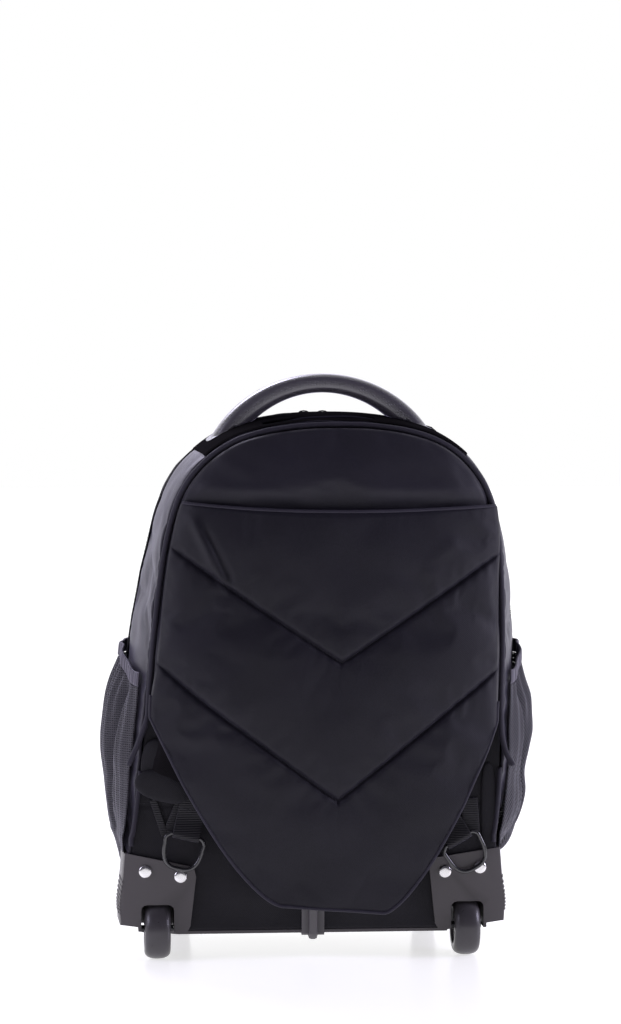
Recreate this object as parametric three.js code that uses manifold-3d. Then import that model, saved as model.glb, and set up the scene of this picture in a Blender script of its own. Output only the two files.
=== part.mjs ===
// A wheeled school backpack, standing upright on two wheels and two feet, seen with its back to -Y.
// Sizes are in millimetres, +Z is up, and the finished bag is centred over the origin at the end.
// The bag is sewn from padded cloth panels. A stow-away cover with a chevron-quilted flap hangs
// over its back and hides the shoulder straps, whose ends show at both lower corners.

import * as THREE from "three";
import { mergeVertices } from "three/addons/utils/BufferGeometryUtils.js";
import Module from "manifold-3d";

const wasm = await Module();
wasm.setup();

// Driving dimensions
const gap = 0.3; // between pieces that touch
const cloth = 2.4; // padded gusset and panel cloth
const floorClear = 22; // underside of the base above the floor
const baseBoard = 3.0; // thickness of the base board
const wall = 4.0; // padded board of the back

const body = {
  half: 158, // half width at the rear seam, at the base
  crown: 450.6, // height of the rear seam's top above the floor
  depth: 148, // rear seam to front seam
  swell: 11.5, // how far the sides stand out between the two seams
  lean: 20.5, // sideways slump of the soft back at its crown
  leanFrom: 104, // height at which that slump starts
  leanFade: 0.2, // share of the crown's slump that is gone a little further forward
  leanPower: 0.62, // below 1, most of the slump comes low down
  crownRound: 8, // dome of the front panel
};
const zip = { at: 62, width: 12, tooth: 1.4, coil: 3, pullLength: 16, pullShift: -7, pullGap: 8 };
const slider = {
  long: 10,
  wide: 7,
  high: 2.2,
  loop: 2, // radius of the bridge over the slider
  stretch: 1.6, // and how much longer it is than high
  wire: 0.8,
  tabWide: 5.6,
  tabThick: 1.4,
};

const cover = {
  bulge: 26, // how far the stowed straps push the cover out
  edge: 8.6, // stand-off of the flap's face along the piping
  freeEdge: 12.6, // and where its sides hang free of the piping
  pipe: 8, // diameter of the covered piping cord
  sheet: 2.4, // thickness of the inner cover panel
  sheetFoot: 214, // height of the inner panel's lower edge
  flap: 7.0, // thickness of the quilted flap at its middle
  flapEdge: 3.2, // and at its bound edge
  centre: 8.8, // sideways place of the flap below the piping
  half: 145, // half width there
  cornerAt: 205, // height at which the flap comes free of the piping
  groove: 2.6, // depth of a quilting groove
};

const handle = {
  centre: 12.5,
  half: 80, // half the span of its arc, measured where its legs start
  legs: 444.5, // height there
  rise: 38, // and how far the arc rises above that
  sunk: 0.27, // the arc runs on below that by this share of its half angle, down to the cloth
  wide: 26,
  thick: 16,
  thicker: 1.3, // the legs' thickness, as a share of the middle's
  at: 40,
  tab: 2,
};
const trolley = {
  centre: 6, // sideways place of the tubes
  half: 36, // half their spacing
  outer: 16, // diameter of the fixed tubes
  step: 2.6, // diameter lost at each inner stage
  tube: 1.0, // tube wall
  top: 414, // upper end of the fixed tubes
  cup: { half: 47, deep: 16, floor: 3, high: 31, wall: 1.5 },
  grip: { high: 24, play: 0.5, socket: 10 },
};

const wheel = { radius: 25, width: 23, fromSide: 28, inset: 13, bore: 3.3, pin: 3.0, hub: 14.5, rim: 8 };
const housing = {
  wide: 61.4, // width of the rear plate at its upper end
  splay: 0.115, // that edge runs outwards by this share on its way down
  plate: 3.0,
  low: 23.5, // middle of the sloping lower edge
  high: 81, // middle of the sloping upper edge
  lowSlope: 0.12, // the lower edge rises outwards by this share of its length
  highSlope: 0.2, // and the upper edge by this one
  side: 42, // how far the side plate reaches forward
  flare: 0.5, // how far it stands off the cloth there
  round: 7, // corner radius of the rear plate
  sidePlay: 2.2, // wheel to cheek
  roofPlay: 2.5, // tyre to the roof of its well
  cheek: 2.5, // walls of the wheel well
  mouth: 47, // top of the plate's opening
  mouthRound: 5,
};
const rib = { count: 9, pitch: 3.4, high: 1.5, proud: 0.8, middle: 52, reach: 32 };
const rivet = {
  radius: 5.4,
  high: 2.2,
  outer: { fromSide: 17.5, z: 74 },
  inner: { fromSide: 47, z: 68.5 },
};
const rail = { half: 9.5, plate: 1.6, ridge: 4, proud: 5.2, high: 120, reach: 58 };
const foot = { fromSide: 50, fromFront: 15, top: 12, base: 9.5, round: 2 };

const net = {
  thick: 1.5, // thickness of the gathered net
  bulgeLeft: 17.5, // stand-off at its fullest, which differs as the bag slumps to the right
  bulgeRight: 22.5,
  from: 7, // first and last seam, from the rear face
  to: 124,
  lowRear: 91, // height of the lower seam, over the wheel housing
  lowFore: 77, // and in front of it
  rimRear: 236, // height of the rim at the rear seam
  rimFore: 257, // and at the front one
  band: 12, // height of the elastic binding
  gathers: 3.5, // gathers across the pocket
  fold: 2.6, // depth of a gather
};

const strap = { pad: 8.5, web: 23, webThick: 1.6, narrow: 7, tail: 10 };
const ring = { half: 16.2, drop: 28, wire: 3.5 };
const pouch = { half: 122, low: 46, high: 268, bulge: 28 };

// Number of flat facets along or around a form
const facets = { seam: 36, wheel: 16, tube: 10, foot: 12, net: 16, pouch: 22, flap: 14 };

// Shared sections and profiles, as shares of the sizes above

// The rear seam. rise: share of the way from base to crown; half: share of the half width.
const seamRows = [
  { rise: 0.0, half: 1.0 },
  { rise: 0.08, half: 0.987 },
  { rise: 0.155, half: 0.979 },
  { rise: 0.32, half: 0.969 },
  { rise: 0.46, half: 0.951 },
  { rise: 0.58, half: 0.941 },
  { rise: 0.705, half: 0.917 },
  { rise: 0.805, half: 0.876 },
  { rise: 0.874, half: 0.812 },
  { rise: 0.926, half: 0.705 },
  { rise: 0.966, half: 0.553 },
  { rise: 0.987, half: 0.38 },
  { rise: 0.9975, half: 0.187 },
  { rise: 1.0, half: 0.0 },
];
// The gusset. back: share of the depth; out: share of the swell.
const swellRows = [
  { back: 0.0, out: 0.0 },
  { back: 0.1, out: 0.38 },
  { back: 0.22, out: 0.7 },
  { back: 0.4, out: 0.96 },
  { back: 0.6, out: 1.0 },
  { back: 0.8, out: 0.84 },
  { back: 1.0, out: 0.42 },
];
// The swell fades beside the wheel housings and near the crown, as shares of itself and of the rise.
const swellFade = { low: 0.12, over: 0.22, crown: 0.2, crownFrom: 0.75, crownOver: 0.2 };
// The flap's rows from its mouth down, as heights at its left side, its middle and its right side.
// They are shares of the rise. power 1 gives a straight arm, more a bow; sewn rows are grooves.
const flapRows = [
  { left: 0.841, tip: 0.824, right: 0.834, power: 2, sewn: false },
  { left: 0.8, tip: 0.69, right: 0.79, power: 1.3, sewn: false },
  { left: 0.757, tip: 0.527, right: 0.741, power: 1, sewn: true },
  { left: 0.7, tip: 0.45, right: 0.69, power: 1, sewn: false },
  { left: 0.6, tip: 0.34, right: 0.58, power: 1, sewn: false },
  { left: 0.525, tip: 0.256, right: 0.505, power: 1, sewn: true },
  { left: 0.49, tip: 0.19, right: 0.47, power: 1.1, sewn: false },
  { left: 0.455, tip: 0.11, right: 0.44, power: 1.3, sewn: false },
  { left: 0.424, tip: 0.046, right: 0.41, power: 1.5, sewn: false },
];
const flapTip = 0.065; // sideways place of the chevrons' points, as a share of the half width
const flapFoot = 0.29; // half width of the flap's straight foot, as the same share
const footTilt = 0.008; // how far the foot drops to the right and rises to the left, of the rise
const groovePull = 0.016; // half width of a quilting groove, of the rise
// The cover's stand-off. up: share of the rise; out: share of the bulge.
const bulgeRows = [
  { up: 0.0, out: 0.32 },
  { up: 0.12, out: 0.55 },
  { up: 0.25, out: 0.85 },
  { up: 0.4, out: 1.0 },
  { up: 0.6, out: 1.0 },
  { up: 0.8, out: 0.86 },
  { up: 0.92, out: 0.5 },
  { up: 1.0, out: 0.1 },
];
// The net's stand-off from its lower seam to its rim, as a share of its bulge.
const netRows = [
  { up: 0.0, out: 0.0 },
  { up: 0.03, out: 0.42 },
  { up: 0.1, out: 0.7 },
  { up: 0.25, out: 0.9 },
  { up: 0.45, out: 0.98 },
  { up: 0.62, out: 1.0 },
  { up: 0.8, out: 0.82 },
  { up: 0.92, out: 0.58 },
  { up: 1.0, out: 0.42 },
];
// The stowed shoulder straps from their upper ends down. fall: share of the rise below the first
// row; left and right: sideways places of their middles; wide: their width, of the half width.
const strapTop = 0.88;
const strapRows = [
  { fall: 0.0, left: -0.2, right: 0.31, wide: 0.33 },
  { fall: 0.14, left: -0.33, right: 0.42, wide: 0.35 },
  { fall: 0.28, left: -0.49, right: 0.53, wide: 0.35 },
  { fall: 0.4, left: -0.6, right: 0.62, wide: 0.32 },
  { fall: 0.51, left: -0.705, right: 0.655, wide: 0.29 },
  { fall: 0.592, left: -0.765, right: 0.69, wide: 0.27 },
];
// The lower strap parts, placed by shares of the half width and of the rise. ring: the ring's straight
// bar and how far it is turned clockwise; narrow and tail: upper and lower ends of two thin webbings.
const lowerParts = [
  {
    side: -1,
    name: "left",
    bulge: net.bulgeLeft,
    ring: { across: -0.6741, up: 0.178, tilt: 13 },
    narrow: [{ across: -0.8481, up: 0.265 }, { across: -0.7848, up: 0.1897 }],
    tail: [{ across: -0.6582, up: 0.2744 }, { across: -0.7215, up: 0.1968 }],
  },
  {
    side: 1,
    name: "right",
    bulge: net.bulgeRight,
    ring: { across: 0.7722, up: 0.1721, tilt: -30 },
    narrow: [{ across: 0.6709, up: 0.2697 }, { across: 0.6582, up: 0.2039 }],
    tail: [{ across: 0.8323, up: 0.2556 }, { across: 0.8449, up: 0.1897 }],
  },
];
// The piping's free ends. out: how far they flare out; down: how far they hang below the corner.
const pipingEnds = [
  { side: -1, rows: [{ out: 0, down: 2 }, { out: 6, down: 22 }, { out: 13, down: 40 }] },
  { side: 1, rows: [{ out: 0, down: 2 }, { out: 1, down: 22 }, { out: 3, down: 40 }] },
];

// Derived sizes
const baseZ = floorClear + baseBoard + gap; // where the cloth ends above the base board
const rise = body.crown - baseZ;
const heightAt = (share) => baseZ + share * rise;
const shareAt = (z) => (z - baseZ) / rise;
const wellHalf = wheel.width / 2 + housing.sidePlay;
const wellRoof = 2 * wheel.radius + housing.roofPlay;
const wellDepth = wheel.inset + wheel.radius + housing.roofPlay;
const tubeAt = wall + gap + trolley.outer / 2;
const wheelX = body.half - wheel.fromSide;
const housingInner = body.half - housing.wide;

// Small helpers
const P = (x, y, z) => new THREE.Vector3(x, y, z);
const Q = (x, z) => new THREE.Vector2(x, z);
const mix = (a, b, t) => a + (b - a) * t;
const clamp = (v, low, high) => Math.min(high, Math.max(low, v));
const ease = (v) => {
  const t = clamp(v, 0, 1);
  return t * t * (3 - 2 * t);
};
const steps = (count) => Array.from({ length: count + 1 }, (_, i) => i / count);
const turns = (degrees) => degrees.map((a) => THREE.MathUtils.degToRad(a));

// A smooth reading of a table: the value column at a place in the key column.
function read(rows, key, value, at) {
  const last = rows.length - 1;
  if (at <= rows[0][key]) return rows[0][value];
  if (at >= rows[last][key]) return rows[last][value];
  const i = rows.findIndex((row) => row[key] >= at) - 1;
  const [a, b] = [rows[i], rows[i + 1]];
  const slope = (p, q) => (q[value] - p[value]) / (q[key] - p[key]);
  const h = b[key] - a[key];
  const t = (at - a[key]) / h;
  const slopeA = (i === 0 ? slope(a, b) : slope(rows[i - 1], b)) * h;
  const slopeB = (i + 1 === last ? slope(a, b) : slope(a, rows[i + 2])) * h;
  const t2 = t * t;
  const t3 = t2 * t;
  return (2 * t3 - 3 * t2 + 1) * a[value] + (t3 - 2 * t2 + t) * slopeA
    + (3 * t2 - 2 * t3) * b[value] + (t3 - t2) * slopeB;
}

// One closed geometry of points and triangles, facing out, without slivers of no area.
function closed(points, triangles) {
  const raw = new THREE.BufferGeometry();
  const flat = points.flatMap((p) => [p.x, p.y, p.z]);
  raw.setAttribute("position", new THREE.Float32BufferAttribute(flat, 3));
  raw.setIndex(triangles.flat());
  const merged = mergeVertices(raw, 1e-3);
  const at = merged.attributes.position;
  const index = Array.from(merged.index.array);
  const kept = [];
  let volume = 0;
  for (let i = 0; i < index.length; i += 3) {
    const [a, b, c] = index.slice(i, i + 3);
    if (a === b || b === c || a === c) continue;
    kept.push(a, b, c);
    const [p, q, r] = [a, b, c].map((k) => P(at.getX(k), at.getY(k), at.getZ(k)));
    volume += p.dot(q.cross(r));
  }
  const facing = [];
  for (let i = 0; i < kept.length; i += 3) {
    const [a, b, c] = kept.slice(i, i + 3);
    facing.push(a, volume < 0 ? c : b, volume < 0 ? b : c);
  }
  const made = new THREE.BufferGeometry();
  made.setAttribute("position", at);
  made.setIndex(facing);
  return made;
}

// A sheet of cloth between two grids of points with the same rows and columns.
function sheet(outer, inner) {
  const rows = outer.length;
  const cols = outer[0].length;
  const at = (side, i, j) => side * rows * cols + i * cols + j;
  const triangles = [];
  const quad = (a, b, c, d) => triangles.push([a, b, c], [a, c, d]);
  for (let i = 0; i + 1 < rows; i++) {
    for (let j = 0; j + 1 < cols; j++) {
      quad(at(0, i, j), at(0, i + 1, j), at(0, i + 1, j + 1), at(0, i, j + 1));
      quad(at(1, i, j), at(1, i, j + 1), at(1, i + 1, j + 1), at(1, i + 1, j));
    }
    quad(at(0, i, 0), at(1, i, 0), at(1, i + 1, 0), at(0, i + 1, 0));
    quad(at(0, i, cols - 1), at(0, i + 1, cols - 1), at(1, i + 1, cols - 1), at(1, i, cols - 1));
  }
  for (let j = 0; j + 1 < cols; j++) {
    quad(at(0, 0, j), at(0, 0, j + 1), at(1, 0, j + 1), at(1, 0, j));
    quad(at(0, rows - 1, j), at(1, rows - 1, j), at(1, rows - 1, j + 1), at(0, rows - 1, j + 1));
  }
  return closed([...outer.flat(), ...inner.flat()], triangles);
}

// A solid through rings of points. Ends get flat caps; a looped one joins its last ring to its first.
function loft(rings, looped = false) {
  const sides = rings[0].length;
  const points = rings.flat();
  const triangles = [];
  const last = looped ? rings.length : rings.length - 1;
  for (let i = 0; i < last; i++) {
    const next = (i + 1) % rings.length;
    for (let j = 0; j < sides; j++) {
      const k = (j + 1) % sides;
      triangles.push([i * sides + j, next * sides + j, next * sides + k]);
      triangles.push([i * sides + j, next * sides + k, i * sides + k]);
    }
  }
  if (looped) return closed(points, triangles);
  for (const end of [0, rings.length - 1]) {
    const middle = points.length;
    const start = end * sides;
    points.push(rings[end].reduce((sum, p) => sum.add(p), P(0, 0, 0)).divideScalar(sides));
    for (let j = 0; j < sides; j++) {
      const k = (j + 1) % sides;
      triangles.push(end === 0 ? [middle, start + j, start + k] : [middle, start + k, start + j]);
    }
  }
  return closed(points, triangles);
}

// Carries a section along a path. side is the direction of the section's first axis.
function sweep(path, side, section, looped = false) {
  const count = path.length;
  const rings = path.map((p, i) => {
    const before = looped ? path[(i + count - 1) % count] : path[Math.max(0, i - 1)];
    const after = looped ? path[(i + 1) % count] : path[Math.min(count - 1, i + 1)];
    const along = after.clone().sub(before).normalize();
    const across = side.clone().addScaledVector(along, -side.dot(along)).normalize();
    const up = along.clone().cross(across);
    const shape = typeof section === "function" ? section(i / (count - 1)) : section;
    return shape.map(([a, b]) => p.clone().addScaledVector(across, a).addScaledVector(up, b));
  });
  return loft(rings, looped);
}

// Sections: a regular one, a flat strap and a bar with rounded edges.
const roundSection = (radius, sides = 6) =>
  Array.from({ length: sides }, (_, i) => {
    const turn = (2 * Math.PI * (i + 0.5)) / sides;
    return [radius * Math.cos(turn), radius * Math.sin(turn)];
  });
const flatSection = (wide, thick) => [
  [-wide / 2, -thick / 2],
  [wide / 2, -thick / 2],
  [wide / 2, thick / 2],
  [-wide / 2, thick / 2],
];
const barSection = (wide, thick, sides, power) =>
  roundSection(1, sides).map(([a, b]) => [
    (wide / 2) * Math.sign(a) * Math.abs(a) ** power,
    (thick / 2) * Math.sign(b) * Math.abs(b) ** power,
  ]);

// A turned piece about an axis through a centre. The profile is a closed loop of [radius, along].
function turned(axis, [x, y, z], profile, sides) {
  const rings = Array.from({ length: sides }, (_, i) => {
    const turn = (2 * Math.PI * i) / sides;
    return profile.map(([r, along]) => {
      const [a, b] = [r * Math.cos(turn), r * Math.sin(turn)];
      if (axis === "x") return P(x + along, y + a, z + b);
      if (axis === "y") return P(x + b, y + along, z + a);
      return P(x + a, y + b, z + along);
    });
  });
  return loft(rings, true);
}
const tubeBetween = (x, y, low, high, radius, bore) =>
  turned("z", [x, y, 0], [[bore, low], [radius, low], [radius, high], [bore, high]], facets.tube);

// A disc-like sheet over an outline. place gives each point of its two faces, from the point in the
// outline's plane, its share of the way from centre to rim, and the side.
function discSheet(outline, centre, shares, place) {
  const count = outline.length;
  const rings = shares.length;
  const face = rings * count + 1;
  const points = [0, 1].flatMap((side) => [
    ...shares.flatMap((share) =>
      outline.map((p) => place(centre.clone().lerp(p, share), share, side))),
    place(centre.clone(), 0, side),
  ]);
  const triangles = [];
  for (const side of [0, 1]) {
    const at = (k, i) => side * face + k * count + (i % count);
    const push = (a, b, c) => triangles.push(side ? [a, c, b] : [a, b, c]);
    for (let k = 0; k + 1 < rings; k++) {
      for (let i = 0; i < count; i++) {
        push(at(k, i), at(k, i + 1), at(k + 1, i + 1));
        push(at(k, i), at(k + 1, i + 1), at(k + 1, i));
      }
    }
    const hubPoint = side * face + rings * count;
    for (let i = 0; i < count; i++) push(at(rings - 1, i), at(rings - 1, i + 1), hubPoint);
  }
  for (let i = 0; i < count; i++) {
    const j = (i + 1) % count;
    triangles.push([i, face + i, face + j], [i, face + j, j]);
  }
  return closed(points, triangles);
}

// Joining and cutting
function toSolid(geometry) {
  const bare = geometry.clone();
  for (const name of Object.keys(bare.attributes)) {
    if (name !== "position") bare.deleteAttribute(name);
  }
  const merged = mergeVertices(bare, 1e-4);
  return new wasm.Manifold(new wasm.Mesh({
    numProp: 3,
    vertProperties: new Float32Array(merged.attributes.position.array),
    triVerts: new Uint32Array(merged.index.array),
  }));
}
function toGeometry(solid) {
  const m = solid.getMesh();
  const flat = new Float32Array(m.numVert * 3);
  for (let i = 0; i < m.numVert; i++) {
    flat.set(m.vertProperties.subarray(i * m.numProp, i * m.numProp + 3), i * 3);
  }
  const made = new THREE.BufferGeometry();
  made.setAttribute("position", new THREE.BufferAttribute(flat, 3));
  made.setIndex(new THREE.BufferAttribute(new Uint32Array(m.triVerts), 1));
  return made;
}
const join = (...shapes) => toGeometry(shapes.map(toSolid).reduce((a, b) => a.add(b)));
const cut = (shape, ...tools) =>
  toGeometry(tools.map(toSolid).reduce((a, b) => a.subtract(b), toSolid(shape)));

// A box from its low to its high corner.
function block([x0, y0, z0], [x1, y1, z1]) {
  const box = new THREE.BoxGeometry(x1 - x0, y1 - y0, z1 - z0);
  return box.translate((x0 + x1) / 2, (y0 + y1) / 2, (z0 + z1) / 2);
}

// The bag's outside
const swellAt = (y) => read(swellRows, "back", "out", y / body.depth);
function swellShare(z) {
  const aboveHousing = ease((z - housing.high) / (swellFade.over * rise));
  const atCrown = ease((shareAt(z) - swellFade.crownFrom) / swellFade.crownOver);
  return mix(swellFade.low, 1, aboveHousing) - swellFade.crown * atCrown;
}
const reachAt = (z, y) => swellAt(y) * swellShare(z) * body.swell;
const halfAt = (z) => body.half * read(seamRows, "rise", "half", shareAt(z));
function leanAt(z, y) {
  const up = clamp((z - body.leanFrom) / (body.crown - body.leanFrom), 0, 1);
  return body.lean * up ** body.leanPower * (1 - body.leanFade * ease((3 * y) / body.depth) * up ** 3);
}

// Stations along the rear seam, from the left foot over the crown to the right foot.
const seamStations = (() => {
  const left = seamRows.map((row) => P(-body.half * row.half, 0, heightAt(row.rise)));
  const right = left.slice(0, -1).reverse().map((p) => P(-p.x, 0, p.z));
  const curve = new THREE.CatmullRomCurve3([...left, ...right], false, "centripetal");
  curve.arcLengthDivisions = 600;
  return steps(facets.seam).map((t) => {
    const p = curve.getPointAt(t);
    const along = curve.getTangentAt(t);
    return { x: p.x, z: p.z, nx: -along.z, nz: along.x };
  });
})();
const crownStation = seamStations[facets.seam >> 1];

// A point of the bag's side and top, out mm proud of the cloth, y mm forward of the rear seam.
function skin(station, y, out) {
  const reach = reachAt(station.z, y) + out;
  const z = Math.max(station.z + station.nz * reach, baseZ);
  return P(station.x + station.nx * reach + leanAt(station.z, y), y, z);
}
// The same on the flank, at a given height; side is -1 for the left and 1 for the right.
const flank = (side, z, y, out) => P(side * (halfAt(z) + reachAt(z, y) + out) + leanAt(z, y), y, z);

function gusset(from, to, rows) {
  const grid = (out) => steps(rows).map((t) => seamStations.map((s) => skin(s, mix(from, to, t), out)));
  return sheet(grid(0), grid(-cloth));
}

// The rear half of the gusset, with the slot that the pull-up handle comes out of.
function rearGusset() {
  const { centre, cup } = trolley;
  const slot = block(
    [centre - cup.half - gap, tubeAt - cup.deep / 2 - gap, body.crown - 0.25 * rise],
    [centre + cup.half + gap, tubeAt + cup.deep / 2 + gap, body.crown + 3 * body.swell],
  );
  return cut(gusset(0, zip.at - gap, 3), slot);
}
const frontGusset = () => gusset(zip.at + zip.width + gap, body.depth, 2);

// The main zip: a tape round the whole gusset with its coil standing proud along the middle.
function mainZip() {
  const middle = zip.at + zip.width / 2;
  const rows = [
    { y: zip.at, out: 0 },
    { y: middle - zip.coil / 2, out: zip.tooth },
    { y: middle + zip.coil / 2, out: zip.tooth },
    { y: zip.at + zip.width, out: 0 },
  ];
  const grid = (inside) =>
    rows.map((row) => seamStations.map((s) => skin(s, row.y, inside ? -cloth : row.out)));
  return sheet(grid(false), grid(true));
}

// A zip slider that runs along one direction, on a face that looks along another. Its tab is turned
// away from the running direction by some degrees.
function zipPull(at, along, face, length, tabTurn) {
  const across = face.clone().cross(along).normalize();
  const turn = new THREE.Matrix4().makeBasis(along, across, face).setPosition(at);
  const { long, wide, high, loop, stretch, wire, tabWide, tabThick } = slider;
  const base = block([-long / 2, -wide / 2, 0], [long / 2, wide / 2, high]);
  const bridge = new THREE.TorusGeometry(loop, wire, 5, 8).rotateX(Math.PI / 2).scale(stretch, 1, 1);
  bridge.translate(0, 0, high + wire / 2);
  const tab = block([-wire, -tabWide / 2, 0], [length, tabWide / 2, tabThick]);
  tab.rotateZ(THREE.MathUtils.degToRad(tabTurn)).translate(0, 0, high - wire / 4);
  return join(base, bridge, tab).applyMatrix4(turn);
}
function mainPull(side) {
  const top = skin(crownStation, zip.at + zip.width / 2, zip.tooth + gap);
  const at = top.add(P(zip.pullShift + side * zip.pullGap, 0, 0));
  return zipPull(at, P(side, 0, 0), P(0, 0, 1), zip.pullLength, side * 90);
}

// The rear seam's outline, drawn in by inset.
const seamOutline = (inset) =>
  seamStations.map((s) => Q(s.x - s.nx * inset, Math.max(baseZ, s.z - s.nz * inset)));

// The room a wheel well takes out of the base board and the back.
const wellNotch = (side) => {
  const reach = wellHalf + housing.cheek + gap;
  return block(
    [side * wheelX - reach, -wall, 0],
    [side * wheelX + reach, wellDepth + housing.cheek + gap, wellRoof + housing.cheek + gap],
  );
};

// The padded board of the back, notched over the wheel wells.
function backWall() {
  const outline = new THREE.Shape(seamOutline(cloth + gap));
  const board = new THREE.ExtrudeGeometry(outline, { depth: wall, bevelEnabled: false, steps: 1 });
  board.rotateX(Math.PI / 2).translate(0, wall, 0);
  const at = board.attributes.position;
  for (let i = 0; i < at.count; i++) at.setX(i, at.getX(i) + leanAt(at.getZ(i), at.getY(i)));
  return cut(board, wellNotch(-1), wellNotch(1));
}

// The front panel, domed, inside the end of the front gusset.
function frontAt(x, z) {
  const across = x / body.half;
  const up = (z - heightAt(0.47)) / (0.56 * rise);
  return body.depth + body.crownRound * Math.max(0, 1 - across * across - up * up);
}
function frontPanel() {
  const rim = seamStations.map((s) => {
    const p = skin(s, body.depth, -cloth - gap);
    return Q(p.x, p.z);
  });
  const footing = steps(6).slice(1, -1).map((t) => rim[rim.length - 1].clone().lerp(rim[0], t));
  const centre = Q(leanAt(heightAt(0.45), body.depth), heightAt(0.45));
  return discSheet([...rim, ...footing], centre, [1, 0.75, 0.4], (p, share, side) =>
    P(p.x, frontAt(p.x, p.y) - side * cloth, p.y));
}

// The front pouch, a bulging panel sewn to the front, and the zip over its top.
const pouchCentre = Q(0, mix(pouch.low, pouch.high, 0.5));
const pouchOutline = (() => {
  const rough = barSection(2 * pouch.half, pouch.high - pouch.low, 48, 0.5);
  const round = new THREE.SplineCurve([...rough, rough[0]].map(([x, z]) => Q(x, z + pouchCentre.y)));
  return round.getSpacedPoints(facets.pouch).slice(0, -1);
})();
function pouchPoint(p, share, out) {
  const bulge = pouch.bulge * (1 - share ** 5) ** 0.6;
  return P(p.x, frontAt(p.x, p.y) + 3 * gap + bulge + out, p.y);
}
function frontPouch() {
  const inset = 1 - cloth / pouch.half;
  return discSheet(pouchOutline, pouchCentre, [1, 0.97, 0.9, 0.8, 0.5], (p, share, side) =>
    (side ? pouchPoint(pouchCentre.clone().lerp(p, inset), share, 0) : pouchPoint(p, share, cloth)));
}
function pouchZip() {
  const above = mix(pouch.low, pouch.high, 0.6);
  const upper = pouchOutline.filter((p) => p.y > above).sort((a, b) => a.x - b.x);
  const grid = (out) => [0.9, 0.8].map((share) => upper.map((p) =>
    pouchPoint(pouchCentre.clone().lerp(p, share), share, cloth + gap + out)));
  return sheet(grid(zip.tooth), grid(0));
}
function pouchPull() {
  const share = 0.85;
  const middle = Q(0, mix(pouchCentre.y, pouch.high, share));
  const top = pouchPoint(middle, share, cloth + 2 * gap + zip.tooth);
  const face = P(0, 1, 0.7).normalize();
  return zipPull(top.addScaledVector(face, 0.6), P(1, 0, 0), face, zip.pullLength, 0);
}

function baseBoardPlate() {
  const rim = steps(6).map((t) => t * body.depth);
  const reach = (y) => body.half + reachAt(baseZ, y);
  const right = rim.map((y) => Q(reach(y), y));
  const left = rim.map((y) => Q(-reach(y), y)).reverse();
  const plan = new THREE.Shape([...right, ...left]);
  const board = new THREE.ExtrudeGeometry(plan, { depth: baseBoard, bevelEnabled: false, steps: 1 });
  return cut(board.translate(0, 0, floorClear), wellNotch(-1), wellNotch(1));
}

// The cover over the back

// Goes from 0 to 1 over a stretch of height that starts some way above the flap's corners.
const aboveCorner = (z, from) => ease((z - cover.cornerAt - from) / 40);
const coverCentre = (z) => mix(cover.centre, leanAt(z, 0), aboveCorner(z, 6));
const flapHalf = (z) => mix(cover.half, halfAt(z) - cover.pipe - 4 * gap, aboveCorner(z, 6));
// The flap's outer face, u across from -1 to 1.
function coverFace(u, z) {
  const across = (1 - Math.min(1, Math.abs(u)) ** 2.2) ** 0.7;
  const edge = mix(cover.freeEdge, cover.edge, aboveCorner(z, 50));
  return -(edge + cover.bulge * across * read(bulgeRows, "up", "out", shareAt(z)));
}
const flapThick = (u) => mix(cover.flapEdge, cover.flap, 1 - Math.abs(u) ** 3);

// The height of one of the flap's rows at u.
function rowHeight(row, u, isFoot) {
  const [side, t] = u < flapTip
    ? [row.left, (flapTip - u) / (1 + flapTip)]
    : [row.right, (u - flapTip) / (1 - flapTip)];
  if (!isFoot) return heightAt(mix(row.tip, side, t ** row.power));
  const free = clamp((t - flapFoot) / (1 - flapFoot), 0, 1);
  const tilt = footTilt * clamp((u - flapTip) / flapFoot, -1, 1) * (1 - free);
  return heightAt(mix(row.tip, side, free ** row.power) - tilt);
}

// The quilted flap: its rows follow the chevrons, and the two sewn ones sink into grooves.
function quiltedFlap() {
  const nearest = Math.round((facets.flap * (1 + flapTip)) / 2);
  const across = steps(facets.flap).map((t, i) => (i === nearest ? flapTip : mix(-1, 1, t)));
  const moved = (row, by, dip) => ({
    ...row, left: row.left + by, tip: row.tip + by, right: row.right + by, dip,
  });
  const rows = flapRows.flatMap((row) => (row.sewn
    ? [moved(row, groovePull, 0), moved(row, 0, 1), moved(row, -groovePull, 0)]
    : [moved(row, 0, 0)]));
  const grid = (inside) => rows.map((row, i) => across.map((u) => {
    const z = rowHeight(row, u, i === rows.length - 1);
    const groove = row.dip * cover.groove * (1 - Math.abs(u) ** 8);
    const y = coverFace(u, z) + (inside ? flapThick(u) : groove);
    return P(coverCentre(z) + u * flapHalf(z), y, z);
  }));
  return sheet(grid(false), grid(true));
}

// The inner panel of the cover: it shows above the flap's mouth and backs the flap below it.
function coverPanel() {
  const inset = cover.pipe + gap;
  const mouth = heightAt(flapRows[0].left);
  const rim = seamStations
    .filter((s) => s.z > cover.sheetFoot)
    .map((s) => Q(s.x - s.nx * inset, s.z - s.nz * inset));
  const low = rim[0].y;
  const footing = steps(10).slice(1, -1).map((t) => Q(mix(rim[rim.length - 1].x, rim[0].x, t), low));
  const centre = Q(0, mix(low, mouth, 0.75));
  return discSheet([...rim, ...footing], centre, [1, 0.88, 0.62, 0.32], (p, share, side) => {
    const u = clamp(p.x / Math.max(1, flapHalf(p.y)), -1, 1);
    const under = ease((mouth + 14 - p.y) / 20);
    const face = coverFace(u, p.y) + mix(2.2, flapThick(u) + 2.4, under);
    return P(p.x + leanAt(p.y, 0), Math.min(face, -gap - cover.sheet) + side * cover.sheet, p.y);
  });
}

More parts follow.
